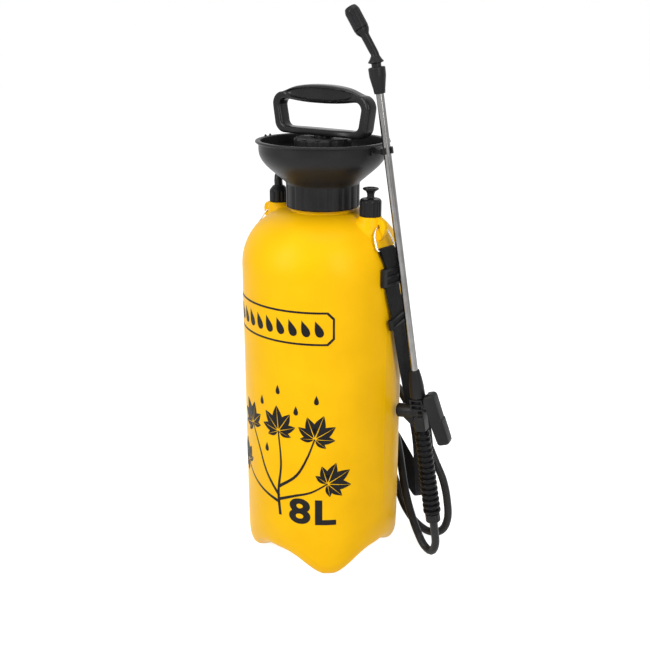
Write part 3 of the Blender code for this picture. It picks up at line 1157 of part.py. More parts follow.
# ---------------------------------------------------------------- shoulder strap
WRAP = RING_WIRE + FIT + WEBBING_THICKNESS / 2     # radius of the webbing's middle round a ring's bar
LAYER = WEBBING_THICKNESS + FIT
INNER_LAYER_X = TANK_RADIUS + FIT + BUCKLE_SHEET + FIT + WEBBING_THICKNESS / 2
OUTER_LAYER_X = INNER_LAYER_X + LAYER
SLIDER = beside_tank((0.0954, 0.0140, 0.3010))
SLIDER_WIDTH = Vector((-0.05, 1.0, 0.20))
SLIDER_LINE = Vector((-0.03, -0.22, 1.0)).normalized()
# Middle of the strap and the way its width points, from the slider down, behind the tank and up on the left.
STRAP_ROUTE = [((0.0980, 0.0370, 0.2240), (0.30, 0.95, -0.10)), ((0.1005, 0.0600, 0.1520), (0.66, 0.75, -0.10)),
               ((0.0970, 0.0740, 0.1000), (0.72, 0.70, 0.00)), ((0.0925, 0.0850, 0.0640), (0.66, 0.75, 0.00)),
               ((0.0820, 0.0985, 0.0470), (0.58, 0.80, 0.00)), ((0.0640, 0.1120, 0.0470), (0.50, 0.80, 0.15)),
               ((0.0380, 0.1235, 0.0650), (0.50, 0.50, 0.60)), ((0.0040, 0.1290, 0.1020), (0.62, 0.12, 0.75)),
               ((-0.0340, 0.1260, 0.1540), (0.74, 0.20, 0.62)), ((-0.0660, 0.1060, 0.2120), (0.70, 0.46, 0.54)),
               ((-0.0870, 0.0730, 0.2660), (0.50, 0.80, 0.30)), ((-0.0955, 0.0380, 0.3040), (0.22, 0.96, 0.15)),
               ((-0.0960, 0.0130, 0.3230), (0.05, 1.00, 0.10))]
STRAP_STEP = 0.0120


def ring_wrap(side):
    """The webbing from its tail, up through the buckle, round the ring's bar and down through the buckle."""
    half = 0.5 * BUCKLE_HEIGHT
    above, below = BUCKLE_Z + half + 0.0020, BUCKLE_Z - half - 0.0030
    bar = RING_BAR
    points = [(INNER_LAYER_X, BUCKLE_Y, z) for z in (below, BUCKLE_Z, above)]
    points.append((0.5 * (INNER_LAYER_X + bar.x - WRAP) + 0.0012, 0.3 * BUCKLE_Y, 0.5 * (above + bar.z)))
    turn_on, turn_off, steps = radians(208), radians(20), 6    # where the webbing meets and leaves the bar
    for step in range(steps + 1):
        angle = turn_on + (turn_off - turn_on) * step / steps
        points.append((bar.x + WRAP * cos(angle), 0.0, bar.z + WRAP * sin(angle)))
    points.append((0.5 * (OUTER_LAYER_X + bar.x + WRAP) + 0.0006, 0.3 * BUCKLE_Y, 0.5 * (above + bar.z)))
    points += [(OUTER_LAYER_X, BUCKLE_Y, z) for z in (above, BUCKLE_Z, below)]
    return [Vector((side * x, y, z)) for x, y, z in points]


def band_mesh(points, widths):
    """A flat band along points, as wide as the webbing, its width pointing as told."""
    bm = bmesh.new()
    ahead = [(second - first).normalized() for first, second in zip(points, points[1:])]
    along = [ahead[0]] + [(one + two).normalized() for one, two in zip(ahead, ahead[1:])] + [ahead[-1]]
    rows = []
    for point, width, line in zip(points, widths, along):
        width = (width - width.dot(line) * line).normalized()
        half, thick = WEBBING_WIDTH / 2 * width, WEBBING_THICKNESS / 2 * width.cross(line)
        rows.append([bm.verts.new(point + corner) for corner in
                     (-half - thick, half - thick, half + thick, thick - half)])
    for first, second in zip(rows, rows[1:]):
        for index in range(4):
            after = (index + 1) % 4
            bm.faces.new((first[index], first[after], second[after], second[index]))
    bm.faces.new(rows[0])
    bm.faces.new(rows[-1])
    return bm


def build_strap():
    across = Vector((0.0, 1.0, 0.0))
    route = [(point, across) for point in ring_wrap(1)]
    route += [(SLIDER + reach * SLIDER_LINE, SLIDER_WIDTH) for reach in (SLIDER_HEIGHT, -SLIDER_HEIGHT)]
    route += [(beside_tank(point), Vector(width)) for point, width in STRAP_ROUTE]
    route += [(point, across) for point in ring_wrap(-1)[::-1]]
    points, widths = [], []
    for point, place in curve_through([point for point, _ in route], STRAP_STEP):
        index = min(int(place), len(route) - 2)
        points.append(point)
        widths.append(route[index][1].lerp(route[index + 1][1], place - index))
    make_object("strap", band_mesh(points, widths), WEBBING)


def buckle(name, matrix, layers, height, windows):
    """A flat buckle round the webbing; in its own frame X is out of the strap and Z along it."""
    inside = layers * LAYER + FIT
    half_width, half_height = BUCKLE_WIDTH / 2, height / 2
    low, high = -BUCKLE_SHEET, inside + BUCKLE_FACE
    made = box(name, (low, -half_width, -half_height), (high, half_width, half_height), BLACK,
               matrix=matrix, bevel=0.0005)
    slot = WEBBING_WIDTH / 2 + 2 * FIT
    cut(made, box("slot", (0.0, -slot, -height), (inside, slot, height), BLACK, matrix=matrix))
    opening = (height - (windows + 1) * BUCKLE_BAR) / windows
    for index in range(windows):
        bottom = -half_height + BUCKLE_BAR + index * (opening + BUCKLE_BAR)
        cut(made, box("window", (inside - 0.0002, -slot + 0.0004, bottom),
                      (high + 0.001, slot - 0.0004, bottom + opening), BLACK, matrix=matrix))


def build_buckles():
    for side, label in ((1, "right"), (-1, "left")):
        turn = Matrix.Rotation(0.0 if side == 1 else pi, 4, "Z")
        inner_face = side * (INNER_LAYER_X - WEBBING_THICKNESS / 2 - FIT)
        place = Matrix.Translation((inner_face, BUCKLE_Y, BUCKLE_Z)) @ turn
        buckle("strap_buckle_" + label, place, 2, BUCKLE_HEIGHT, 2)
    width = (SLIDER_WIDTH - SLIDER_WIDTH.dot(SLIDER_LINE) * SLIDER_LINE).normalized()
    out = width.cross(SLIDER_LINE)
    turn = Matrix((out, width, SLIDER_LINE)).transposed().to_4x4()
    place = Matrix.Translation(SLIDER - (WEBBING_THICKNESS / 2 + FIT) * out) @ turn
    buckle("strap_slider", place, 1, SLIDER_HEIGHT, 1)


build_strap()
build_buckles()

# ---------------------------------------------------------------- origin


def centre_on_origin():
    """Move everything so that the bounding box of all but the hose stands over the origin."""
    bpy.context.view_layer.update()
    depsgraph = bpy.context.evaluated_depsgraph_get()
    points = []
    for thing in bpy.data.objects:
        if thing.type == "EMPTY" or thing.name == "hose":
            continue
        evaluated = thing.evaluated_get(depsgraph)
        points += [evaluated.matrix_world @ vertex.co for vertex in evaluated.to_mesh().vertices]
    middle = Vector((0.0, 0.0, 0.0))
    for axis in (0, 1):
        along = [point[axis] for point in points]
        middle[axis] = 0.5 * (min(along) + max(along))
    for thing in bpy.data.objects:
        if thing.parent is None:
            thing.matrix_local = Matrix.Translation(-middle) @ thing.matrix_local


centre_on_origin()
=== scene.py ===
"""Looks of a hand-carried pump-up sprayer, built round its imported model: yellow tank, funnel, hand pump,
hose, relief valve, shoulder strap, and a lance with its trigger gun clipped to the funnel's rim."""

from math import atan2, copysign, cos, exp, pi, radians, sin, sqrt

import bmesh
import bpy
from mathutils import Matrix, Vector
from mathutils.geometry import interpolate_bezier


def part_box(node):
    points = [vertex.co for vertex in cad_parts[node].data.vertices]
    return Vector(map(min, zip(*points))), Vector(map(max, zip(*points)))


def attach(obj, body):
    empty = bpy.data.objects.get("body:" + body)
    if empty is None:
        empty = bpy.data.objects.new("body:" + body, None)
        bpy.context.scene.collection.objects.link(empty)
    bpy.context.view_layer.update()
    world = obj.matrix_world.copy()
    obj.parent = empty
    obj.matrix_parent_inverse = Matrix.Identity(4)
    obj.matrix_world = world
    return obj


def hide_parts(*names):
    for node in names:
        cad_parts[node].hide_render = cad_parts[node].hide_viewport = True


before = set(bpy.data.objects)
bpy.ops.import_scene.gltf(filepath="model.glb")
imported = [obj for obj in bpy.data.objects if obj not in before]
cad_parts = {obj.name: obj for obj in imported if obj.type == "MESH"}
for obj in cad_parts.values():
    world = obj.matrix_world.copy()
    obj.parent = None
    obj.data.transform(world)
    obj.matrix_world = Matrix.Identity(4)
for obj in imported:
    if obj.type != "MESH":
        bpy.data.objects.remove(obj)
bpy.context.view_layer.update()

# ---------------------------------------------------------------- camera, floor and lamps
# The sprayer stands on a pale floor in plain studio light and is seen from its front right corner, from a
# little above the funnel. Floor and sky are white to the camera, in shines and through clear plastic; the
# floor keeps the shadow.
AZIMUTH, DIP = radians(40.0), radians(18.33)
CAMERA_PLACE, LENS, SIDE_SHIFT = Vector((0.62965, -0.75039, 0.60210)), 49.85, 0.00335
WHITE, SKY_TINT, FLOOR_PAINT = (1.0, 1.0, 1.0, 1.0), (0.98, 0.99, 1.0, 1.0), (0.74, 0.74, 0.74, 1.0)
SKY_LIGHT, FLOOR_LIFT, FLOOR_RADIUS = 0.34, 0.84, 9.0
TANK_LOW, TANK_HIGH = (Vector(corner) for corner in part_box("tank"))
TANK_AXIS = Vector((0.5 * (TANK_LOW.x + TANK_HIGH.x), 0.5 * (TANK_LOW.y + TANK_HIGH.y), 0.0))
camera = bpy.data.objects.new("camera", bpy.data.cameras.new("camera"))
bpy.context.collection.objects.link(camera)
looking = Vector((-sin(AZIMUTH) * cos(DIP), cos(AZIMUTH) * cos(DIP), -sin(DIP)))
camera.location = TANK_AXIS + CAMERA_PLACE
camera.rotation_euler = looking.to_track_quat("-Z", "Y").to_euler()
camera.data.sensor_width = 36.0
camera.data.lens = LENS
camera.data.shift_x = SIDE_SHIFT
bpy.context.scene.camera = camera
bpy.context.scene.view_settings.view_transform = "Standard"


def add_node(tree, kind, sockets=None, **settings):
    """A shader node with its settings, and its sockets set to values or joined to other nodes' outputs."""
    made = tree.nodes.new(kind)
    for setting, value in settings.items():
        setattr(made, setting, value)
    for socket, value in (sockets or {}).items():
        if isinstance(value, bpy.types.NodeSocket):
            tree.links.new(value, made.inputs[socket])
        else:
            made.inputs[socket].default_value = value
    return made


def sums(tree, operation, *values):
    """The outcome of a sum on values that are numbers or other nodes' outputs."""
    return add_node(tree, "ShaderNodeMath", dict(enumerate(values)), operation=operation).outputs[0]


def seen_directly(tree):
    """One where it is seen straight, in a shine or through clear plastic, and nought for other light."""
    rays = add_node(tree, "ShaderNodeLightPath").outputs
    shiny_or_clear = sums(tree, "MAXIMUM", rays["Is Glossy Ray"], rays["Is Transmission Ray"])
    return sums(tree, "MAXIMUM", rays["Is Camera Ray"], shiny_or_clear)


def white_sky():
    sky = bpy.data.worlds.new("sky")
    bpy.context.scene.world = sky
    sky.use_nodes = True
    tree = sky.node_tree
    tree.nodes.clear()
    light = add_node(tree, "ShaderNodeBackground", {"Color": SKY_TINT, "Strength": SKY_LIGHT})
    shown = add_node(tree, "ShaderNodeBackground", {"Color": WHITE, "Strength": 1.0})
    mixed = add_node(tree, "ShaderNodeMixShader",
                     {0: seen_directly(tree), 1: light.outputs[0], 2: shown.outputs[0]})
    add_node(tree, "ShaderNodeOutputWorld", {"Surface": mixed.outputs[0]})


def pale_floor():
    bm = bmesh.new()
    bmesh.ops.create_circle(bm, cap_ends=True, segments=96, radius=FLOOR_RADIUS)
    mesh = bpy.data.meshes.new("floor")
    bm.to_mesh(mesh)
    bm.free()
    floor = bpy.data.objects.new("floor", mesh)
    bpy.context.collection.objects.link(floor)
    paint = bpy.data.materials.new("floor_paint")
    paint.use_nodes = True
    tree = paint.node_tree
    tree.nodes.clear()
    matt = add_node(tree, "ShaderNodeBsdfDiffuse", {"Color": FLOOR_PAINT})
    lift = sums(tree, "MULTIPLY", seen_directly(tree), FLOOR_LIFT)
    glow = add_node(tree, "ShaderNodeEmission", {"Color": WHITE, "Strength": lift})
    both = add_node(tree, "ShaderNodeAddShader", {0: matt.outputs[0], 1: glow.outputs[0]})
    add_node(tree, "ShaderNodeOutputMaterial", {"Surface": both.outputs[0]})
    mesh.materials.append(paint)


def soft_lamp(name, place, target, width, height, power):
    data = bpy.data.lights.new(name, "AREA")
    data.shape = "RECTANGLE"
    data.size, data.size_y, data.energy = width, height, power
    lamp = bpy.data.objects.new(name, data)
    lamp.location = TANK_AXIS + Vector(place)
    lamp.rotation_euler = (Vector(target) - Vector(place)).to_track_quat("-Z", "Y").to_euler()
    bpy.context.collection.objects.link(lamp)


white_sky()
pale_floor()
soft_lamp("left_softbox", (-0.40, -1.40, 1.02), (0.0, 0.0, 0.32), 0.45, 1.10, 14.5)
soft_lamp("right_softbox", (1.42, -0.69, 1.00), (0.0, 0.0, 0.30), 0.45, 1.20, 13.5)
soft_lamp("top_softbox", (0.10, -0.10, 1.70), (0.0, 0.0, 0.40), 0.90, 0.90, 6.5)

# ---------------------------------------------------------------- hose
# A black vinyl pressure hose, extruded, about ten millimetres thick. It is pushed on the outlet's tail, drops
# behind the tank, shows as two loops beside the gun, and is held in the gun by the nut under the grip.
HOSE_RADIUS = 0.00475
DIE_LINES = 34
HOSE_EXIT = Vector((-0.0655, 0.0, 0.4316))
HOSE_FAR_END = Vector((0.133529, 0.041707, 0.053956))
LANCE_UP = Vector((-0.107951, -0.100754, 0.989037))
HOSE_ROUTE = [(-0.0640, 0.0120, 0.4535), (-0.0600, 0.0330, 0.4590), (-0.0540, 0.0540, 0.4490),
              (-0.0490, 0.0740, 0.4190), (-0.0460, 0.0870, 0.3700), (-0.0360, 0.0925, 0.3000),
              (-0.0190, 0.0960, 0.2200), (0.0030, 0.0985, 0.1430), (0.0260, 0.0955, 0.0880),
              (0.0500, 0.0870, 0.0520), (0.0640, 0.0830, 0.0320), (0.0830, 0.0810, 0.0165),
              (0.1020, 0.0835, 0.0090), (0.1165, 0.0870, 0.0140), (0.1230, 0.0900, 0.0300),
              (0.1195, 0.0930, 0.0550), (0.1120, 0.0935, 0.0800), (0.1010, 0.0925, 0.1010),
              (0.0860, 0.0940, 0.1250), (0.0670, 0.0980, 0.1470), (0.0450, 0.1030, 0.1670),
              (0.0180, 0.1085, 0.1880), (-0.0060, 0.1120, 0.1980), (-0.0300, 0.1120, 0.1900),
              (-0.0420, 0.1115, 0.1660), (-0.0370, 0.1120, 0.1400), (-0.0160, 0.1130, 0.1240),
              (0.0120, 0.1120, 0.1230), (0.0370, 0.0980, 0.1170), (0.0540, 0.0830, 0.1030),
              (0.0660, 0.0730, 0.0840), (0.0780, 0.0640, 0.0640), (0.0920, 0.0570, 0.0420),
              (0.1060, 0.0520, 0.0230), (0.1190, 0.0480, 0.0120), (0.1300, 0.0455, 0.0110),
              (0.1355, 0.0445, 0.0210)]


def circle(sides, radius=1.0):
    """Points round a circle, as pairs."""
    turns = [2 * pi * step / sides for step in range(sides)]
    return [(radius * cos(turn), radius * sin(turn)) for turn in turns]


def curve_through(route, step):
    """Points about a step apart on a smooth curve through a route, each with its place along the route."""
    ahead = [(second - first).normalized() for first, second in zip(route, route[1:])]
    tangents = [ahead[0]] + [(one + two).normalized() for one, two in zip(ahead, ahead[1:])] + [ahead[-1]]
    points = []
    for index, (start, end) in enumerate(zip(route, route[1:])):
        steps = max(1, round((end - start).length / step))
        reach = (end - start).length / 3
        curve = interpolate_bezier(start, start + reach * tangents[index], end - reach * tangents[index + 1],
                                   end, steps + 1)
        points += [(point, index + number / steps) for number, point in enumerate(curve[:-1])]
    points.append((route[-1], len(route) - 1))
    return points


def new_piece(name, bm, material, place=None):
    """An object from a bmesh laid out round the tank's axis, smooth but for its sharp corners."""
    bmesh.ops.recalc_face_normals(bm, faces=bm.faces)
    mesh = bpy.data.meshes.new(name)
    bm.to_mesh(mesh)
    bm.free()
    mesh.shade_smooth()
    mesh.set_sharp_from_angle(angle=radians(50))
    mesh.materials.append(material)
    made = bpy.data.objects.new(name, mesh)
    bpy.context.collection.objects.link(made)
    made.matrix_world = Matrix.Translation(TANK_AXIS) @ (place or Matrix())
    return made


def stands_for(piece, body, slot, *nodes):
    """Fix a piece to a body and let it take the place of its plain solids; slot, the finish's name, is not
    used.
    """
    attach(piece, body)
    if nodes:
        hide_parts(*nodes)
    return piece


def join_rings(bm, rings, closed, coordinates=None):
    """Faces between closed rings of points; coordinates give each ring its distance along for the map."""
    made = [[bm.verts.new(point) for point in ring] for ring in rings]
    surface_map = bm.loops.layers.uv.verify() if coordinates else None
    pairs = list(zip(range(len(made)), range(1, len(made)))) + ([(len(made) - 1, 0)] if closed else [])
    for first, second in pairs:
        count = len(made[first])
        for step in range(count):
            after = (step + 1) % count
            face = bm.faces.new((made[first][step], made[first][after], made[second][after],
                                 made[second][step]))
            if coordinates:
                corners = ((0, first), (1, first), (1, second), (0, second))
                for loop, (around, ring) in zip(face.loops, corners):
                    loop[surface_map].uv = ((step + around) / count, coordinates[ring])
    return made


def tube_along(name, points, radii, material, sides=24, closed=False, place=None):
    """A round tube along points, its rings turned as little as they can be, mapped round and along it."""
    count = len(points)
    radii = radii if isinstance(radii, list) else [radii] * count
    lines = []
    for index in range(count):
        before = points[index - 1] if index or closed else points[0]
        after = points[(index + 1) % count] if index < count - 1 or closed else points[-1]
        lines.append((after - before).normalized())
    side = lines[0].orthogonal().normalized()
    rings, distances, walked = [], [], 0.0
    for index, (point, line, radius) in enumerate(zip(points, lines, radii)):
        side = (side - side.dot(line) * line).normalized()
        across = line.cross(side)
        rings.append([point + radius * (x * side + y * across) for x, y in circle(sides)])
        walked += (point - points[index - 1]).length if index else 0.0
        distances.append(walked)
    bm = bmesh.new()
    made = join_rings(bm, rings, closed, distances)
    if not closed:
        bm.faces.new(made[0])
        bm.faces.new(made[-1])
    return new_piece(name, bm, material, place)


def ramp(tree, factor, stops):
    """A colour that runs through stops of (place, colour) as the factor grows."""
    made = add_node(tree, "ShaderNodeValToRGB", {"Fac": factor})
    elements = made.color_ramp.elements
    while len(elements) < len(stops):
        elements.new(1.0)
    for element, (place, colour) in zip(elements, stops):
        element.position, element.color = place, (*colour, 1.0)
    return made.outputs["Color"]


def spread(tree, value, low, high, start, end):
    """A value's range from low to high, stretched to run from start to end."""
    made = add_node(tree, "ShaderNodeMapRange", {"Value": value, "From Min": low, "From Max": high,
                                                 "To Min": start, "To Max": end})
    return made.outputs["Result"]


def noise(tree, spot, scale, detail, roughness=0.5):
    """A cloudy pattern over a place on the piece."""
    return add_node(tree, "ShaderNodeTexNoise", {"Vector": spot, "Scale": scale, "Detail": detail,
                                                 "Roughness": roughness}).outputs["Fac"]


def start_finish(name, constants):
    """A new material with its shader's constants; gives back it, its nodes and its places on the piece."""
    made = bpy.data.materials.new(name)
    made.use_nodes = True
    tree = made.node_tree
    for socket, value in constants.items():
        tree.nodes["Principled BSDF"].inputs[socket].default_value = value
    return made, tree, add_node(tree, "ShaderNodeTexCoord").outputs


def end_finish(made, colour, polish, height, strength, depth):
    """Join a material's colour, its polish, and the bump of a height pattern to its shader."""
    tree = made.node_tree
    inputs = tree.nodes["Principled BSDF"].inputs
    bump = add_node(tree, "ShaderNodeBump", {"Height": height, "Strength": strength, "Distance": depth})
    tree.links.new(colour, inputs["Base Color"])
    tree.links.new(polish, inputs["Roughness"])
    tree.links.new(bump.outputs["Normal"], inputs["Normal"])
    return made


def hose_vinyl():
    """Soft black vinyl: fine lines from the extruder's die along it, and a slightly uneven polish."""
    made, tree, spot = start_finish("hose_vinyl", {"Specular IOR Level": 0.18})
    around = add_node(tree, "ShaderNodeSeparateXYZ", {0: spot["UV"]}).outputs["X"]
    blotch = noise(tree, spot["Object"], 60.0, 4.0)
    turn = sums(tree, "MULTIPLY_ADD", around, 2 * pi * DIE_LINES, 0.0)
    lines = sums(tree, "SINE", sums(tree, "MULTIPLY_ADD", blotch, 3.0, turn))
    height = sums(tree, "MULTIPLY_ADD", lines, 0.35, noise(tree, spot["Object"], 1500.0, 3.0))
    colour = ramp(tree, blotch, [(0.3, (0.009, 0.009, 0.010)), (0.7, (0.020, 0.020, 0.021))])
    return end_finish(made, colour, spread(tree, blotch, 0.3, 0.7, 0.27, 0.40), height, 0.5, 0.00006)


def build_hose():
    first = [HOSE_EXIT, HOSE_EXIT + Vector((0.0, 0.0, 2 * HOSE_RADIUS))]
    last = [HOSE_FAR_END - 2 * HOSE_RADIUS * LANCE_UP, HOSE_FAR_END]
    line = curve_through(first + [Vector(point) for point in HOSE_ROUTE] + last, 0.004)
    path = [TANK_AXIS + point for point, _ in line]
    hose = tube_along("vinyl_hose", path, HOSE_RADIUS, hose_vinyl(), 28, place=Matrix.Translation(-TANK_AXIS))
    stands_for(hose, "root", "hose_vinyl", "hose")


build_hose()

# ---------------------------------------------------------------- strap rings
# Bright plated wire, bent to a rounded triangle and closed through the hole in each of the tank's lugs. They
# lean out over the shoulder of the tank, and the strap's folds hold them there.
RING_WIRE = 0.0011
RING_LENGTH = 0.0246
RING_LEAN = radians(23)
RING_TOP = Vector((0.0776, 0.0, 0.4030))
RING_BAR = RING_TOP + RING_LENGTH * Vector((sin(RING_LEAN), 0.0, -cos(RING_LEAN)))


def plated_wire():
    """Bright zinc plate: a fine grain, and dull where it has rubbed."""
    made, tree, spot = start_finish("plated_wire", {"Metallic": 1.0})
    rub = noise(tree, spot["Object"], 420.0, 5.0)
    colour = ramp(tree, rub, [(0.25, (0.55, 0.55, 0.56)), (0.65, (0.86, 0.86, 0.85))])
    return end_finish(made, colour, spread(tree, rub, 0.3, 0.7, 0.10, 0.30),
                      noise(tree, spot["Object"], 2600.0, 2.0), 0.35, 0.00003)


def ring_place(side):
    """Where a ring hangs, in its own frame of Y across and -Z down; side is 1 on the right."""
    swing = Matrix.Rotation(-side * RING_LEAN, 4, "Y")
    return Matrix.Translation((side * RING_TOP.x, 0.0, RING_TOP.z)) @ swing


def build_rings():
    half = [(0.0, 0.0), (0.0040, -0.0005), (0.0080, -0.0028), (0.0112, -0.0066), (0.0134, -0.0114),
            (0.0146, 0.0066 - RING_LENGTH), (0.0151, 0.0024 - RING_LENGTH), (0.0144, 0.0007 - RING_LENGTH),
            (0.0127, -RING_LENGTH)]
    route = half + [(-across, level) for across, level in half[:0:-1]] + half[:1]
    path = [point for point, _ in curve_through([Vector((0.0, y, z)) for y, z in route], 0.0008)][:-1]
    shade = plated_wire()
    for side, label in ((1, "right"), (-1, "left")):
        ring = tube_along("wire_ring_" + label, path, RING_WIRE, shade, 16, True, ring_place(side))
        stands_for(ring, "root", "chrome_wire", "strap_ring_" + label)


build_rings()

# ---------------------------------------------------------------- shoulder strap
# Black woven webbing, an inch wide, folded round the bar of each ring and doubled back through a buckle. From
# the right it passes through a slider, hangs behind the tank, and comes up to the ring on the left.
WEBBING_WIDTH, WEBBING_THICKNESS = 0.0240, 0.0012
YARN_ACROSS, YARN_ALONG = 0.0010, 0.0016
FOLD_RADIUS = 0.0020
INNER_LAYER_X, OUTER_LAYER_X = 0.0923, 0.0938
BUCKLE_Y, BUCKLE_Z, BUCKLE_HEIGHT = 0.0040, 0.3512, 0.0200
SLIDER = Vector((0.0954, 0.0140, 0.3010))
SLIDER_WIDTH = Vector((-0.05, 1.0, 0.20))
SLIDER_LINE = Vector((-0.03, -0.22, 1.0)).normalized()
SLIDER_HEIGHT = 0.0120
STRAP_ROUTE = [((0.0980, 0.0370, 0.2240), (0.30, 0.95, -0.10)),
               ((0.1005, 0.0600, 0.1520), (0.66, 0.75, -0.10)),
               ((0.0970, 0.0740, 0.1000), (0.72, 0.70, 0.00)),
               ((0.0925, 0.0850, 0.0640), (0.66, 0.75, 0.00)),
               ((0.0820, 0.0985, 0.0470), (0.58, 0.80, 0.00)),
               ((0.0640, 0.1120, 0.0470), (0.50, 0.80, 0.15)),
               ((0.0380, 0.1235, 0.0650), (0.50, 0.50, 0.60)),
               ((0.0040, 0.1290, 0.1020), (0.62, 0.12, 0.75)),
               ((-0.0340, 0.1260, 0.1540), (0.74, 0.20, 0.62)),
               ((-0.0660, 0.1060, 0.2120), (0.70, 0.46, 0.54)),
               ((-0.0870, 0.0730, 0.2660), (0.50, 0.80, 0.30)),
               ((-0.0955, 0.0380, 0.3040), (0.22, 0.96, 0.15)),
               ((-0.0960, 0.0130, 0.3230), (0.05, 1.00, 0.10))]


def webbing():
    """Plain weave of black polypropylene: bundles crossing under and over, dusty and slightly shiny."""
    made, tree, spot = start_finish("webbing", {"Specular IOR Level": 0.12, "Sheen Weight": 0.03,
                                                "Sheen Roughness": 0.5})
    parts = add_node(tree, "ShaderNodeSeparateXYZ", {0: spot["UV"]}).outputs
    rise = sums(tree, "SINE", sums(tree, "MULTIPLY", parts["X"], pi / YARN_ACROSS))
    run = sums(tree, "SINE", sums(tree, "MULTIPLY", parts["Y"], pi / YARN_ALONG))
    weave = sums(tree, "MULTIPLY", rise, run)
    fade = noise(tree, spot["Object"], 45.0, 4.0)
    height = sums(tree, "MULTIPLY_ADD", noise(tree, spot["Object"], 3200.0, 3.0), 0.5, weave)
    colour = ramp(tree, sums(tree, "MULTIPLY_ADD", weave, 0.22, fade),
                  [(0.15, (0.003, 0.003, 0.0035)), (0.60, (0.008, 0.008, 0.009)),
                   (0.95, (0.022, 0.022, 0.023))])
    return end_finish(made, colour, spread(tree, fade, 0.3, 0.7, 0.62, 0.80), height, 0.9, 0.00018)


def fold_round_ring(side):
    """The webbing from its tail, up through the buckle, round the ring's bar and down through the buckle."""
    above, below = BUCKLE_Z + 0.5 * BUCKLE_HEIGHT + 0.0020, BUCKLE_Z - 0.5 * BUCKLE_HEIGHT - 0.0030
    halfway = 0.5 * (above + RING_BAR.z)
    points = [(INNER_LAYER_X, BUCKLE_Y, z) for z in (below, BUCKLE_Z, above)]
    points.append((0.5 * (INNER_LAYER_X + RING_BAR.x - FOLD_RADIUS) + 0.0012, 0.3 * BUCKLE_Y, halfway))
    meets, leaves, steps = radians(208), radians(20), 6
    for step in range(steps + 1):
        angle = meets + (leaves - meets) * step / steps
        points.append((RING_BAR.x + FOLD_RADIUS * cos(angle), 0.0, RING_BAR.z + FOLD_RADIUS * sin(angle)))
    points.append((0.5 * (OUTER_LAYER_X + RING_BAR.x + FOLD_RADIUS) + 0.0006, 0.3 * BUCKLE_Y, halfway))
    points += [(OUTER_LAYER_X, BUCKLE_Y, z) for z in (above, BUCKLE_Z, below)]
    return [Vector((side * x, y, z)) for x, y, z in points]


def build_strap():
    straight = Vector((0.0, 1.0, 0.0))
    route = [(point, straight) for point in fold_round_ring(1)]
    route += [(SLIDER + reach * SLIDER_LINE, SLIDER_WIDTH) for reach in (SLIDER_HEIGHT, -SLIDER_HEIGHT)]
    route += [(Vector(point), Vector(width)) for point, width in STRAP_ROUTE]
    route += [(point, straight) for point in fold_round_ring(-1)[::-1]]
    line = curve_through([point for point, _ in route], 0.0030)
    bm = bmesh.new()
    surface_map = bm.loops.layers.uv.new("weave")
    columns, rows, walked, before = 12, [], 0.0, line[0][0]
    for index, (point, place) in enumerate(line):
        ahead = (line[min(index + 1, len(line) - 1)][0] - line[max(index - 1, 0)][0]).normalized()
        at = min(int(place), len(route) - 2)
        width = route[at][1].lerp(route[at + 1][1], place - at)
        width = (width - width.dot(ahead) * ahead).normalized()
        out = width.cross(ahead)
        walked += (point - before).length
        before = point
        row = []
        for face in (1, -1):
            for column in range(columns + 1):
                share = face * (2 * column / columns - 1)
                edge = 1.0 - abs(share) ** 8 * 0.55
                place_across = 0.5 * WEBBING_WIDTH * share
                row.append((bm.verts.new(point + place_across * width
                                         + face * 0.5 * WEBBING_THICKNESS * edge * out),
                            (place_across + 0.05, walked)))
        rows.append(row)
    for first, second in zip(rows, rows[1:]):
        for step in range(len(first)):
            corners = (first[step], first[(step + 1) % len(first)], second[(step + 1) % len(first)],
                       second[step])
            face = bm.faces.new([vertex for vertex, _ in corners])
            for loop, (_, spot) in zip(face.loops, corners):
                loop[surface_map].uv = spot
    for row in (rows[0], rows[-1]):
        bm.faces.new([vertex for vertex, _ in row])
    strap = new_piece("strap_webbing", bm, webbing())
    stands_for(strap, "root", "webbing", "strap")


build_strap()

# ---------------------------------------------------------------- tank
# One blow-moulded shell of yellow polyethylene: a tall cylinder on four blunt feet, a domed shoulder, a neck
# for the funnel, and on each side a port and a fin for the strap's ring, moulded with it.
TANK_RADIUS, TANK_WALL = 0.0900, 0.0032
SHOULDER_Z, NECK_BASE_Z, NECK_TOP_Z = 0.3520, 0.4120, 0.4380
NECK_RADIUS, NECK_BORE = 0.0340, 0.0305
BASE_Z, FOOT_RADIUS, FOOT_HEIGHT, FLOOR_Z = 0.0600, 0.0747, 0.0220, 0.0270
PORT_X, PORT_RADIUS, PORT_TOP_Z = 0.0655, 0.0122, 0.4128
LUG_OUTER, LUG_HALF, RING_HOLE_RADIUS = 0.0866, 0.0030, 0.0024
PARTING_LINE, PARTING_SPREAD = 0.00022, 0.006
TANK_SIDES = 160


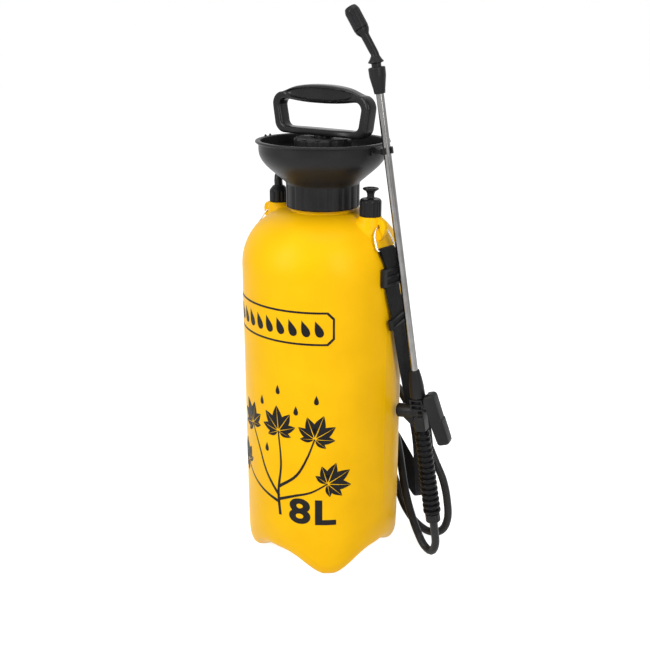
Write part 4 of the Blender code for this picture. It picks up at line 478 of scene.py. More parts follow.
def moulded(name, dark, light, polish, grain=1100.0, depth=0.00005, wear=0.0, scuffs=0.0, shine=0.14):
    """Moulded plastic: the mould's fine grain, uneven tone and polish, scuffs, and corners rubbed paler."""
    made, tree, spot = start_finish(name, {"Specular IOR Level": shine})
    broad = noise(tree, spot["Object"], 26.0, 5.0)
    fine = noise(tree, spot["Object"], grain, 4.0, 0.65)
    stretch = add_node(tree, "ShaderNodeMapping",
                       {"Vector": spot["Object"], "Scale": Vector((420.0, 420.0, 34.0)),
                        "Rotation": Vector((0.5, 0.35, 0.0))})
    marks = spread(tree, noise(tree, stretch.outputs["Vector"], 1.0, 3.0), 0.66, 0.80, 0.0, 1.0)
    tone = sums(tree, "MULTIPLY_ADD", marks, scuffs, broad)
    if wear:
        corners = add_node(tree, "ShaderNodeNewGeometry").outputs["Pointiness"]
        tone = sums(tree, "ADD", tone, spread(tree, corners, 0.53, 0.62, 0.0, wear))
    rough = sums(tree, "MULTIPLY_ADD", fine, 0.4, broad)
    return end_finish(made, ramp(tree, tone, [(0.25, dark), (0.75, light)]),
                      spread(tree, rough, 0.4, 1.0, polish - 0.06, polish + 0.08),
                      sums(tree, "MULTIPLY_ADD", marks, -0.4 * scuffs, fine), 0.6, depth)


YELLOW = moulded("tank_polyethylene", (0.86, 0.462, 0.002), (0.94, 0.520, 0.004), 0.34, 520.0, 0.00010,
                 scuffs=0.10, shine=0.07)


def dome_z(radius):
    """Height of the dome, a quarter ellipse, at a radius."""
    share = (radius - NECK_RADIUS) / (TANK_RADIUS - NECK_RADIUS)
    return SHOULDER_Z + (NECK_BASE_Z - SHOULDER_Z) * sqrt(max(0.0, 1.0 - share * share))


def foot_and_valley():
    """Two fine sections of the base, from its side to its middle: through a foot and through a valley."""
    toe, reach, deep = FOOT_RADIUS, TANK_RADIUS - FOOT_RADIUS, FOOT_HEIGHT
    foot = [(TANK_RADIUS, BASE_Z), (toe + 0.99 * reach, 0.60 * BASE_Z), (toe + 0.94 * reach, 0.30 * BASE_Z),
            (toe + 0.72 * reach, 0.11 * BASE_Z), (toe + 0.38 * reach, 0.02 * BASE_Z), (toe, 0.0),
            (0.90 * toe, 0.0), (0.80 * toe, 0.10 * deep), (0.66 * toe, 0.42 * deep),
            (0.46 * toe, 0.78 * deep), (0.24 * toe, 0.90 * deep), (0.0, 0.94 * deep)]
    valley = [(TANK_RADIUS, BASE_Z), (toe + 0.97 * reach, BASE_Z - 0.25 * deep),
              (toe + 0.86 * reach, BASE_Z - 0.80 * deep), (toe + 0.68 * reach, BASE_Z - 1.28 * deep),
              (toe + 0.35 * reach, BASE_Z - 1.58 * deep), (0.98 * toe, BASE_Z - 1.74 * deep),
              (0.90 * toe, BASE_Z - 1.80 * deep), (0.80 * toe, 0.90 * deep), (0.66 * toe, 0.86 * deep),
              (0.46 * toe, 0.86 * deep), (0.24 * toe, 0.90 * deep), (0.0, 0.94 * deep)]
    fine = []
    for section in (foot, valley):
        points = [Vector((radius, 0.0, max(0.0, height))) for radius, height in section]
        smooth = []
        for index, (start, end) in enumerate(zip(points, points[1:])):
            before, after = points[max(0, index - 1)], points[min(len(points) - 1, index + 2)]
            near, far = start + (end - before) / 6, end - (after - start) / 6
            smooth += interpolate_bezier(start, near, far, end, 6)[:-1]
        fine.append(smooth + [points[-1]])
    return [((one.x, max(0.0, one.z)), (two.x, two.z)) for one, two in zip(*fine)]


def build_tank():
    angles = [2 * pi * step / TANK_SIDES for step in range(TANK_SIDES)]
    for middle in (0.0, pi):
        angles += [(middle + away) % (2 * pi) for away in (-0.011, -0.005, 0.005, 0.011)]
    angles.sort()
    cut = [0.5 * (1 + cos(4 * (angle - pi / 4))) for angle in angles]
    shares = [min(1.0, 1.04 * share ** 1.5) for share in cut]
    ridges = [PARTING_LINE * sum(exp(-((angle - middle) / PARTING_SPREAD) ** 2)
                                 for middle in (0.0, pi, 2 * pi)) for angle in angles]

    def ring(radius, height, ridge=0.0):
        reaches = [radius + ridge * lift for lift in ridges]
        return [Vector((reach * cos(angle), reach * sin(angle), height))
                for reach, angle in zip(reaches, angles)]

    rings = []
    for radius, height in ((0.30, 0.0), (0.60, 0.0), (0.85, 0.002), (0.94, 0.008), (0.985, 0.018),
                           (1.0, 0.034)):
        rings.append(ring(radius * (TANK_RADIUS - TANK_WALL), FLOOR_Z + height))
    for step in range(15):
        angle = 0.5 * pi * step / 14
        rings.append(ring(NECK_BORE + (TANK_RADIUS - TANK_WALL - NECK_BORE) * cos(angle),
                          SHOULDER_Z + (NECK_BASE_Z - TANK_WALL - SHOULDER_Z) * sin(angle)))
    rings += [ring(NECK_BORE, NECK_TOP_Z - 0.0006), ring(NECK_BORE + 0.0006, NECK_TOP_Z),
              ring(NECK_RADIUS - 0.0006, NECK_TOP_Z), ring(NECK_RADIUS, NECK_TOP_Z - 0.0006)]
    for level in (0.4150, 0.4134):
        rings.append(ring(NECK_RADIUS + (0.0 if level > 0.4140 else 0.0004), level, 0.5))
    for step in range(25):
        angle = 0.5 * pi * (0.985 - 0.985 * step / 24)
        rings.append(ring(NECK_RADIUS + (TANK_RADIUS - NECK_RADIUS) * cos(angle),
                          SHOULDER_Z + (NECK_BASE_Z - SHOULDER_Z) * sin(angle), 1.0))
    for step in range(1, 15):
        rings.append(ring(TANK_RADIUS, SHOULDER_Z + (BASE_Z + 0.004 - SHOULDER_Z) * step / 14, 1.0))
    for foot, valley in foot_and_valley()[:-1]:
        spots = [Vector(valley).lerp(Vector(foot), share) for share in shares]
        rings.append([Vector((spot.x * cos(angle), spot.x * sin(angle), spot.y))
                      for spot, angle in zip(spots, angles)])
    bm = bmesh.new()
    made = join_rings(bm, rings, False)
    for row, height in ((made[0], FLOOR_Z), (made[-1], 0.94 * FOOT_HEIGHT)):
        middle = bm.verts.new((0.0, 0.0, height))
        for step in range(len(row)):
            bm.faces.new((row[step], row[(step + 1) % len(row)], middle))
    stands_for(new_piece("tank_shell", bm, YELLOW), "root", "tank_plastic", "tank", "tank_base", "tank_dome",
               "tank_neck")


def build_port(side, label, spigot, spigot_rise):
    """A port's boss: it flares into the dome, and carries a round spigot with a thread's first turns."""
    rings, columns = [], 64
    for flare, lift in ((0.0046, -0.0008), (0.0034, 0.0001), (0.0020, 0.0008), (0.0009, 0.0020),
                        (0.0002, 0.0036)):
        spots = [(PORT_X + x, y) for x, y in circle(columns, PORT_RADIUS + flare)]
        rings.append([Vector((side * x, y, min(PORT_TOP_Z - 0.0012, dome_z(sqrt(x * x + y * y)) + lift)))
                      for x, y in spots])
    section = [(PORT_RADIUS, PORT_TOP_Z - 0.0009), (PORT_RADIUS - 0.0003, PORT_TOP_Z - 0.0003),
               (PORT_RADIUS - 0.0009, PORT_TOP_Z), (spigot + 0.0005, PORT_TOP_Z),
               (spigot, PORT_TOP_Z + 0.0005)]
    turns = 5
    for step in range(1, 2 * turns):
        groove = 0.0006 if step % 2 else 0.0
        section.append((spigot - groove, PORT_TOP_Z + spigot_rise * (0.1 + 0.08 * step)))
    section += [(spigot - 0.0002, PORT_TOP_Z + spigot_rise - 0.0003),
                (spigot - 0.0006, PORT_TOP_Z + spigot_rise), (0.0050, PORT_TOP_Z + spigot_rise),
                (0.0048, PORT_TOP_Z + spigot_rise - 0.0003), (0.0048, PORT_TOP_Z - 0.0060)]
    for radius, height in section:
        rings.append([Vector((side * (PORT_X + x), y, height)) for x, y in circle(columns, radius)])
    bm = bmesh.new()
    join_rings(bm, rings, False)
    stands_for(new_piece("port_" + label, bm, YELLOW), "root", "tank_plastic")


def fill_between(bm, loops):
    """Flat faces inside the first loop of points and outside the others."""
    edges = []
    for loop in loops:
        points = [bm.verts.new(point) for point in loop]
        edges += [bm.edges.new((one, two)) for one, two in zip(points, points[1:] + points[:1])]
    bmesh.ops.triangle_fill(bm, edges=edges, use_beauty=True)


def draw_out(bm):
    """Give flat faces a second side, and return the new side's points, still in the same place."""
    drawn = bmesh.ops.extrude_face_region(bm, geom=bm.faces[:])
    return [item for item in drawn["geom"] if isinstance(item, bmesh.types.BMVert)]


def build_lug(side, label):
    """The fin that carries a strap ring, with its hole; its corners are rounded by the mould."""
    top, foot = PORT_TOP_Z - 0.0007, LUG_OUTER - 0.0098
    inner = PORT_X + 0.3 * PORT_RADIUS
    outline = [(inner, dome_z(foot) - 0.004), (inner, top), (RING_TOP.x + 0.0010, top),
               (LUG_OUTER - 0.0036, top - 0.0018), (LUG_OUTER - 0.0008, top - 0.0048),
               (LUG_OUTER, RING_TOP.z), (LUG_OUTER - 0.0010, RING_TOP.z - 0.0060),
               (LUG_OUTER - 0.0044, RING_TOP.z - 0.0130), (foot, dome_z(foot) - 0.004)]
    hole = [(RING_TOP.x + x, RING_TOP.z + z) for x, z in circle(24, RING_HOLE_RADIUS)]
    bm = bmesh.new()
    fill_between(bm, [[(side * x, -LUG_HALF, z) for x, z in loop] for loop in (outline, hole)])
    bmesh.ops.translate(bm, vec=(0.0, 2 * LUG_HALF, 0.0), verts=draw_out(bm))
    lug = new_piece("strap_lug_" + label, bm, YELLOW)
    soften(lug, 0.0007)
    stands_for(lug, "root", "tank_plastic")


def soften(piece, width, steps=3, corner=35):
    """Round a piece's corners as its mould does."""
    bevel = piece.modifiers.new("rounded_corners", "BEVEL")
    bevel.width, bevel.segments = width, steps
    bevel.limit_method, bevel.angle_limit = "ANGLE", radians(corner)
    bevel.harden_normals = True
    even = piece.modifiers.new("even_normals", "WEIGHTED_NORMAL")
    even.keep_sharp = True


build_tank()
build_port(1, "right", 0.0084, 0.0060)
build_port(-1, "left", 0.0072, 0.0110)
build_lug(1, "right")
build_lug(-1, "left")

# ---------------------------------------------------------------- printing on the tank
# Black ink screen printed on the front: an empty badge with a row of drops in it, a fan of leafy stems below,
# and the tank's capacity in litres. The ink stands a hair above the plastic.
INK_HEIGHT = 0.00022
DROP_PITCH, DROP_LEAN = 0.0145, 0.35
WORDS_LEFT, WORDS_LOW, WORDS_WIDTH, WORDS_HEIGHT = 0.0236, 0.0700, 0.0542, 0.0320
STRIP_WIDTH = 0.0035
INK = moulded("printing_ink", (0.007, 0.007, 0.008), (0.016, 0.015, 0.014), 0.42, 900.0, 0.00003, scuffs=0.3,
              shine=0.09)


def drop_outline(x, z, size, turn=0.0):
    """A drop's outline: round below, drawn to a point above."""
    points = []
    for step in range(24):
        angle = 2 * pi * step / 24
        across = 0.34 * size * sin(angle) * (sin(angle / 2) ** 1.5)
        along = 0.5 * size * cos(angle)
        points.append((x + across * cos(turn) - along * sin(turn),
                       z + across * sin(turn) + along * cos(turn)))
    return points


def leaf_halves(x, z, length, turn):
    """The two halves of a pointed leaf that springs from a point, split by a bare rib."""
    halves, steps = [], 14
    for side in (1, -1):
        rib = [(0.020 * (1 - step / steps) + 0.006, step / steps) for step in range(steps + 1)]
        edge = [(rib[step][0] + 0.23 * sin(pi * (step / steps) ** 0.85), step / steps)
                for step in range(1, steps)]
        outline = [(side * length * across, length * (0.10 + share)) for across, share in rib + edge[::-1]]
        halves.append([(x + across * cos(turn) - up * sin(turn), z + across * sin(turn) + up * cos(turn))
                       for across, up in outline])
    return halves


def stem_outline(points, wide, narrow):
    """A tapering stem along a few points."""
    line = [point for point, _ in curve_through([Vector((x, z, 0.0)) for x, z in points], 0.004)]
    left, right = [], []
    for index, point in enumerate(line):
        ahead = (line[min(index + 1, len(line) - 1)] - line[max(index - 1, 0)]).normalized()
        half = 0.5 * (wide + (narrow - wide) * index / (len(line) - 1))
        left.append((point.x - half * ahead.y, point.y + half * ahead.x))
        right.append((point.x + half * ahead.y, point.y - half * ahead.x))
    return left + right[::-1]


def badge_outline(half, low, high, corner):
    """A wide badge with its corners cut off."""
    return [(-half + corner, low), (half - corner, low), (half, low + corner), (half, high - corner),
            (half - corner, high), (-half + corner, high), (-half, high - corner), (-half, low + corner)]


def wrap_print(name, bm):
    """Cut flat printing into upright strips, lay it round the tank and give it the ink's thickness."""
    for step in range(-24, 25):
        geometry = bm.verts[:] + bm.edges[:] + bm.faces[:]
        bmesh.ops.bisect_plane(bm, geom=geometry, plane_co=(STRIP_WIDTH * step, 0.0, 0.0),
                               plane_no=(1.0, 0.0, 0.0), dist=1e-6)
    upper = set(draw_out(bm))
    for vertex in bm.verts:
        reach = TANK_RADIUS + (INK_HEIGHT if vertex in upper else -0.0001)
        angle = vertex.co.x / TANK_RADIUS
        vertex.co = Vector((reach * sin(angle), -reach * cos(angle), vertex.co.y))
    stands_for(new_piece(name, bm, INK), "root", "black_plastic")


def flat_shapes(outlines):
    """Flat filled shapes; an outline that comes with a second one has it as a hole."""
    bm = bmesh.new()
    for loops in outlines:
        fill_between(bm, [[(x, z, 0.0) for x, z in loop] for loop in loops])
    return bm


def build_badge():
    frame_line = (badge_outline(0.0755, 0.2840, 0.3210, 0.0070),
                  badge_outline(0.0733, 0.2862, 0.3188, 0.0062))
    drops = [(drop_outline(DROP_PITCH * step, 0.3025, 0.0190, DROP_LEAN),) for step in range(-4, 5)]
    wrap_print("print_badge", flat_shapes([frame_line] + drops))


def build_stems():
    stems = [[(0.0120, 0.0760), (0.0100, 0.1050), (0.0140, 0.1400), (0.0110, 0.1800)],
             [(0.0108, 0.1000), (-0.0080, 0.1250), (-0.0200, 0.1520), (-0.0330, 0.1760)],
             [(0.0112, 0.1120), (0.0330, 0.1300), (0.0460, 0.1540), (0.0540, 0.1760)],
             [(0.0112, 0.0920), (-0.0150, 0.1000), (-0.0340, 0.1090), (-0.0500, 0.1220)],
             [(0.0112, 0.0960), (0.0300, 0.1040), (0.0500, 0.1110), (0.0680, 0.1220)]]
    outlines = []
    for line in stems:
        outlines.append((stem_outline(line, 0.0036, 0.0016),))
        (x, z), (before_x, before_z) = line[-1], line[-2]
        heading = atan2(-(x - before_x), z - before_z)
        for turn, size in ((0.0, 0.0270), (0.66, 0.0245), (-0.66, 0.0245), (1.30, 0.0205), (-1.30, 0.0205),
                           (1.95, 0.0150), (-1.95, 0.0150)):
            outlines += [(half,) for half in leaf_halves(x, z, size, heading + turn)]
    for x, z in ((-0.0060, 0.1560), (0.0330, 0.2080), (-0.0130, 0.2110), (0.0110, 0.2290), (0.0560, 0.2220)):
        outlines.append((drop_outline(x, z, 0.0110),))
    wrap_print("print_stems", flat_shapes(outlines))


def build_capacity():
    words = bpy.data.curves.new("capacity", "FONT")
    words.body, words.size, words.offset, words.space_character = "8L", 0.0440, 0.0014, 1.12
    holder = bpy.data.objects.new("capacity", words)
    bpy.context.collection.objects.link(holder)
    bpy.context.view_layer.update()
    flat = holder.evaluated_get(bpy.context.evaluated_depsgraph_get()).to_mesh()
    bm = bmesh.new()
    bm.from_mesh(flat)
    bpy.data.objects.remove(holder)
    across, up = [vertex.co.x for vertex in bm.verts], [vertex.co.y for vertex in bm.verts]
    left, right, low, high = min(across), max(across), min(up), max(up)
    for vertex in bm.verts:
        vertex.co.x = WORDS_LEFT + (vertex.co.x - left) * WORDS_WIDTH / (right - left)
        vertex.co.y = WORDS_LOW + (vertex.co.y - low) * WORDS_HEIGHT / (high - low)
    wrap_print("print_capacity", bm)


build_badge()
build_stems()
build_capacity()

# ---------------------------------------------------------------- funnel
# Black polypropylene filling funnel, screwed on the tank's neck by its ribbed collar: a deep bowl with a
# rolled rim that carries two pairs of small pegs, and inside it the neck that the pump screws on.
COLLAR_RADIUS, COLLAR_BOTTOM_Z, COLLAR_TOP_Z = 0.0403, 0.4160, 0.4430
COLLAR_GROOVES, GROOVE_DEPTH = 18, 0.0012
BOWL_RADIUS, RIM_RADIUS, RIM_Z = 0.0693, 0.0725, 0.4875
FUNNEL_WALL, LEDGE_Z = 0.0024, 0.4413
INNER_NECK_BORE, INNER_NECK_RADIUS, INNER_NECK_TOP_Z = 0.0200, 0.0238, 0.4780
PEG_CIRCLE = 0.0708
PEGS = (("left_front", -166.5), ("left_back", -174.0), ("right_front", 36.0), ("right_back", 43.0))

BLACK = moulded("black_polypropylene", (0.008, 0.008, 0.009), (0.018, 0.018, 0.019), 0.38, 1300.0, 0.00005,
                wear=0.20, scuffs=0.20)
PLAIN_BLACK = moulded("black_nylon", (0.008, 0.008, 0.009), (0.017, 0.017, 0.018), 0.35, 1700.0, 0.00004,
                      scuffs=0.22)


def rounded(outline, reach, steps=3):
    """The same closed outline of (radius, height, groove depth) with its corners rounded by up to a reach."""
    corners = [(point + (0.0,))[:3] for point in outline]
    points = []
    for index, corner in enumerate(corners):
        before, after = corners[index - 1], corners[(index + 1) % len(corners)]
        here = Vector(corner[:2])
        back, ahead = Vector(before[:2]) - here, Vector(after[:2]) - here
        tiny = min(corner[0], back.length, ahead.length) < 1e-6
        if tiny or pi - back.angle(ahead) < radians(8):
            points.append(corner)
            continue
        span = min(reach, 0.45 * back.length, 0.45 * ahead.length)
        start, end = here + span * back.normalized(), here + span * ahead.normalized()
        curve = interpolate_bezier(start.to_3d(), start.lerp(here, 0.56).to_3d(),
                                   end.lerp(here, 0.56).to_3d(), end.to_3d(), steps + 1)
        points += [(point.x, point.y, corner[2]) for point in curve]
    return points


def turned(name, outline, material, sides=96, grooves=0, place=None, share=0.30):
    """A piece turned from a closed outline, with grooves along it where the outline gives them a depth."""
    bm = bmesh.new()
    rings = []
    for radius, height, depth in ((point + (0.0,))[:3] for point in outline):
        if radius < 1e-6:
            rings.append([bm.verts.new((0.0, 0.0, height))])
            continue
        ring = []
        for step in range(sides):
            reach = radius
            if grooves and depth:
                away = abs((step * grooves / sides + 0.5) % 1.0 - 0.5) / share
                reach -= depth * (0.5 + 0.5 * cos(pi * min(1.0, away)))
            angle = 2 * pi * step / sides
            ring.append(bm.verts.new((reach * cos(angle), reach * sin(angle), height)))
        rings.append(ring)
    for ring, following in zip(rings, rings[1:] + rings[:1]):
        if len(ring) == 1 and len(following) == 1:
            continue
        for step in range(sides):
            after = (step + 1) % sides
            if len(ring) == 1:
                bm.faces.new((ring[0], following[step], following[after]))
            elif len(following) == 1:
                bm.faces.new((ring[step], following[0], ring[after]))
            else:
                bm.faces.new((ring[step], following[step], following[after], ring[after]))
    made = new_piece(name, bm, material, place)
    even = made.modifiers.new("even_normals", "WEIGHTED_NORMAL")
    even.keep_sharp = True
    return made


def bowl_curve(inset=0.0, steps=18):
    """The bowl's outside from the collar up to the rim, or the inside that much within it."""
    grow, rise = BOWL_RADIUS - COLLAR_RADIUS, RIM_Z - COLLAR_TOP_Z - 0.0095
    curve = interpolate_bezier(Vector((COLLAR_RADIUS + 0.0006, COLLAR_TOP_Z, 0.0)),
                               Vector((COLLAR_RADIUS + 0.59 * grow, COLLAR_TOP_Z + 0.42 * rise, 0.0)),
                               Vector((BOWL_RADIUS, COLLAR_TOP_Z + 0.61 * rise, 0.0)),
                               Vector((BOWL_RADIUS, COLLAR_TOP_Z + rise, 0.0)), steps)
    points = []
    for index, point in enumerate(curve):
        along = (curve[min(index + 1, steps - 1)] - curve[max(index - 1, 0)]).normalized()
        points.append((point.x - inset * along.y, point.y + inset * along.x))
    return points


def build_funnel():
    floor_z = LEDGE_Z + 0.0032
    lip = RIM_Z - 0.0026
    low = [(NECK_RADIUS + 0.0003, COLLAR_BOTTOM_Z), (COLLAR_RADIUS - 0.0008, COLLAR_BOTTOM_Z),
           (COLLAR_RADIUS, COLLAR_BOTTOM_Z + 0.0008, GROOVE_DEPTH),
           (COLLAR_RADIUS, COLLAR_TOP_Z - 0.0026, GROOVE_DEPTH), (COLLAR_RADIUS, COLLAR_TOP_Z - 0.0016)]
    section = rounded(low, 0.0006)[:-1]
    section += bowl_curve()
    section += [(BOWL_RADIUS, lip - 0.0018), (BOWL_RADIUS + 0.0004, lip - 0.0008),
                (RIM_RADIUS - 0.0008, lip - 0.0002), (RIM_RADIUS, lip + 0.0004),
                (RIM_RADIUS + 0.0003, lip + 0.0014), (RIM_RADIUS - 0.0002, RIM_Z - 0.0004),
                (RIM_RADIUS - 0.0010, RIM_Z), (BOWL_RADIUS - 0.0010, RIM_Z),
                (BOWL_RADIUS - 0.0021, RIM_Z - 0.0005), (BOWL_RADIUS - FUNNEL_WALL, RIM_Z - 0.0018)]
    section += [point for point in bowl_curve(FUNNEL_WALL)[::-1] if point[1] > floor_z + 0.0008]
    section += [(0.0368, floor_z + 0.0004), (0.0356, floor_z), (0.0289, floor_z), (0.0288, floor_z - 0.0004),
                (INNER_NECK_RADIUS + 0.0004, floor_z - 0.0004), (INNER_NECK_RADIUS, floor_z)]
    for turn in range(4):
        height = INNER_NECK_TOP_Z - 0.0130 + 0.0030 * turn
        section += [(INNER_NECK_RADIUS, height - 0.0007), (INNER_NECK_RADIUS + 0.00022, height),
                    (INNER_NECK_RADIUS, height + 0.0007)]
    section += [(INNER_NECK_RADIUS, INNER_NECK_TOP_Z - 0.0004),
                (INNER_NECK_RADIUS - 0.0004, INNER_NECK_TOP_Z), (INNER_NECK_BORE + 0.0003, INNER_NECK_TOP_Z),
                (INNER_NECK_BORE, INNER_NECK_TOP_Z - 0.0003), (INNER_NECK_BORE, LEDGE_Z),
                (NECK_RADIUS + 0.0003, LEDGE_Z)]
    funnel = turned("filling_funnel", section, BLACK, 10 * COLLAR_GROOVES, COLLAR_GROOVES, share=0.22)
    stands_for(funnel, "root", "black_plastic", "funnel", "funnel_ledge", "funnel_neck")
    for label, azimuth in PEGS:
        angle = radians(azimuth)
        place = Matrix.Translation((PEG_CIRCLE * cos(angle), PEG_CIRCLE * sin(angle), RIM_Z - 0.0004))
        peg = [(0.0, 0.0), (0.0013, 0.0), (0.0013, 0.0012), (0.0009, 0.0021), (0.0, 0.0023)]
        stands_for(turned("rim_peg_" + label, rounded(peg, 0.0004), BLACK, 24, place=place), "root",
                   "black_plastic")


build_funnel()

# ---------------------------------------------------------------- hand pump
# The pump screws on the funnel's inner neck by its fluted cap. A steel rod slides through the cap, with the
# piston in the cylinder at its foot and the grip loop at its head.
CAP_LOW, CAP_TOP, CROWN_TOP, CAP_RADIUS, CAP_BORE = 0.4457, 0.4871, 0.4898, 0.0312, 0.0241
ROD_RADIUS, ROD_LOW, ROD_TOP = 0.0060, 0.2478, 0.4950
CYLINDER_RADIUS, CYLINDER_BORE = 0.0195, 0.0175
CYLINDER_LOW, CYLINDER_TOP, FLANGE_LOW = 0.2328, 0.4828, 0.4804
LOOP_BOTTOM, LOOP_HEIGHT, LOOP_HALF_WIDTH = 0.4915, 0.0533, 0.0672
LOOP_HALF_DEPTH, LOOP_ENDS_THINNER, LOOP_SQUARENESS = 0.0100, 0.0023, 0.52
RECESS_HALF_WIDTH, RECESS_HALF_HEIGHT, RECESS_DROP, RECESS_FLOOR = 0.0470, 0.0064, 0.0098, 0.0044

SATIN = moulded("satin_handle_plastic", (0.006, 0.006, 0.007), (0.014, 0.014, 0.015), 0.24, 1500.0, 0.000035,
                wear=0.22, scuffs=0.25, shine=0.20)


def drawn_steel(name, along, dark, light, polish):
    """Bright drawn stainless steel: long streaks from the die, and a slightly uneven polish."""
    made, tree, spot = start_finish(name, {"Metallic": 1.0, "Anisotropic": 0.45})
    stretch = add_node(tree, "ShaderNodeMapping", {"Vector": spot["Object"],
                                                   "Scale": Vector((1800.0, 1800.0, along))})
    streak = noise(tree, stretch.outputs["Vector"], 1.0, 5.0)
    both = sums(tree, "MULTIPLY_ADD", noise(tree, spot["Object"], 70.0, 4.0), 0.4, streak)
    return end_finish(made, ramp(tree, both, [(0.45, dark), (0.90, light)]),
                      spread(tree, both, 0.45, 0.95, polish, polish + 0.14), streak, 0.4, 0.00002)


STEEL = drawn_steel("drawn_stainless", 14.0, (0.30, 0.29, 0.28), (0.55, 0.54, 0.53), 0.14)


def build_pump():
    hole = ROD_RADIUS + 0.0004
    cap = [(CAP_BORE, CAP_LOW), (0.0275, CAP_LOW), (0.0283, CAP_LOW + 0.0008), (0.0283, CAP_LOW + 0.0225),
           (0.0290, CAP_LOW + 0.0250), (CAP_RADIUS, CAP_LOW + 0.0262, 0.0022),
           (CAP_RADIUS, CROWN_TOP - 0.0016, 0.0022), (CAP_RADIUS - 0.0018, CROWN_TOP), (0.0150, CROWN_TOP),
           (0.0120, CROWN_TOP - 0.0006), (0.0114, CAP_TOP), (hole, CAP_TOP), (hole, CAP_TOP - 0.0040),
           (CAP_BORE, CAP_TOP - 0.0040)]
    stands_for(turned("pump_screw_cap", rounded(cap, 0.0007), BLACK, 120, 12), "pump_unit", "black_plastic",
               "pump_cap")
    cylinder = [(0.0023, CYLINDER_LOW), (CYLINDER_RADIUS, CYLINDER_LOW), (CYLINDER_RADIUS, FLANGE_LOW),
                (INNER_NECK_RADIUS, FLANGE_LOW), (INNER_NECK_RADIUS, CYLINDER_TOP),
                (CYLINDER_BORE, CYLINDER_TOP), (CYLINDER_BORE, CYLINDER_LOW + 0.0035),
                (0.0023, CYLINDER_LOW + 0.0035)]
    stands_for(turned("pump_barrel", rounded(cylinder, 0.0010), PLAIN_BLACK, 72), "pump_unit",
               "black_plastic", "pump_cylinder")
    rod = [(0.0, ROD_LOW), (ROD_RADIUS, ROD_LOW), (ROD_RADIUS, ROD_TOP), (0.0, ROD_TOP)]
    stands_for(turned("piston_rod", rounded(rod, 0.0006), STEEL, 48), "pump_grip", "polished_steel",
               "pump_rod")


def loop_line(inset):
    """Half of the grip loop's outline, from its bottom middle to its top middle, outside or inside."""
    half, bottom, top = LOOP_HALF_WIDTH, LOOP_BOTTOM, LOOP_BOTTOM + LOOP_HEIGHT
    if inset:
        half, bottom, top = half - 0.0120, bottom + 0.0078, top - 0.0195
    shoulder = top + (0.0028 if inset else -0.0090)
    corner = 0.0075 if inset else 0.0135
    narrow = half - 0.0026
    points = [(0.0, bottom), (0.55 * half, bottom), (narrow - corner, bottom)]
    for step in range(1, 6):
        angle = 0.5 * pi * step / 5
        points.append((narrow - corner + corner * sin(angle), bottom + corner * (1 - cos(angle))))
    points += [(half, shoulder - corner)]
    for step in range(1, 6):
        angle = 0.5 * pi * step / 5
        points.append((half - corner + corner * cos(angle), shoulder - corner + corner * sin(angle)))
    points += [(0.55 * half, shoulder + 0.62 * (top - shoulder)),
               (0.28 * half, shoulder + 0.92 * (top - shoulder)), (0.0, top)]
    return [Vector((x, 0.0, z)) for x, z in points]


def even_line(points, count):
    """A smooth line through points, cut between each pair into as many steps."""
    fine = []
    for index, (start, end) in enumerate(zip(points, points[1:])):
        before = points[max(0, index - 1)] if index else Vector((-points[1].x, 0.0, points[1].z))
        after = points[index + 2] if index + 2 < len(points) else Vector((-points[-2].x, 0.0, points[-2].z))
        near, far = (end - before).normalized(), (after - start).normalized()
        reach = (end - start).length / 3
        fine += interpolate_bezier(start, start + reach * near, end - reach * far, end, count + 1)[:-1]
    return fine + [points[-1]]


def ease(share):
    """A share from nought to one, with soft ends."""
    share = min(1.0, max(0.0, share))
    return share * share * (3 - 2 * share)


def squarish(turn):
    """A number from minus one to one, pushed outwards, which makes a round section nearly square."""
    return copysign(abs(turn) ** LOOP_SQUARENESS, turn)


def build_grip_loop():
    outer, inner = even_line(loop_line(0), 6), even_line(loop_line(1), 6)
    halves = list(zip(outer, inner))
    mirrored = [(Vector((-one.x, 0.0, one.z)), Vector((-two.x, 0.0, two.z))) for one, two in halves[-2:0:-1]]
    across_recess = LOOP_BOTTOM + LOOP_HEIGHT - RECESS_DROP
    rings, sides = [], 72
    for one, two in halves + mirrored:
        middle, reach = 0.5 * (one + two), 0.5 * (one - two)
        depth = LOOP_HALF_DEPTH - LOOP_ENDS_THINNER * ease((abs(middle.x) - 0.022) / 0.024)
        ring = []
        for along, out in circle(sides):
            point = middle + squarish(along) * reach
            y = squarish(out) * depth
            if one.z > LOOP_BOTTOM + 0.035:
                away = sqrt((point.x / RECESS_HALF_WIDTH) ** 2
                            + ((point.z - across_recess) / RECESS_HALF_HEIGHT) ** 2)
                floor = min(abs(y), RECESS_FLOOR)
                y = copysign(abs(y) - (abs(y) - floor) * ease((1.04 - away) / 0.12), y)
            ring.append(Vector((point.x, y, point.z)))
        rings.append(ring)
    bm = bmesh.new()
    join_rings(bm, rings, True)
    stands_for(new_piece("grip_loop", bm, SATIN), "pump_grip", "satin_black", "pump_handle")
    hub = [(ROD_RADIUS + 0.0003, 0.4874), (0.0092, 0.4874), (0.0092, 0.4950), (0.0078, 0.4975),
           (ROD_RADIUS + 0.0003, 0.4975)]
    stands_for(turned("grip_hub", rounded(hub, 0.0008), SATIN, 64), "pump_grip", "satin_black")


build_pump()
build_grip_loop()

# ---------------------------------------------------------------- hose outlet
# A fluted nut of black nylon on the left port. It clamps the hose's tail and the dip tube down on a seal.
OUTLET_PLACE = Matrix.Translation((-PORT_X, 0.0, 0.0))
OUTLET_LOW, OUTLET_TOP, OUTLET_CEILING = 0.4131, 0.4313, 0.4274


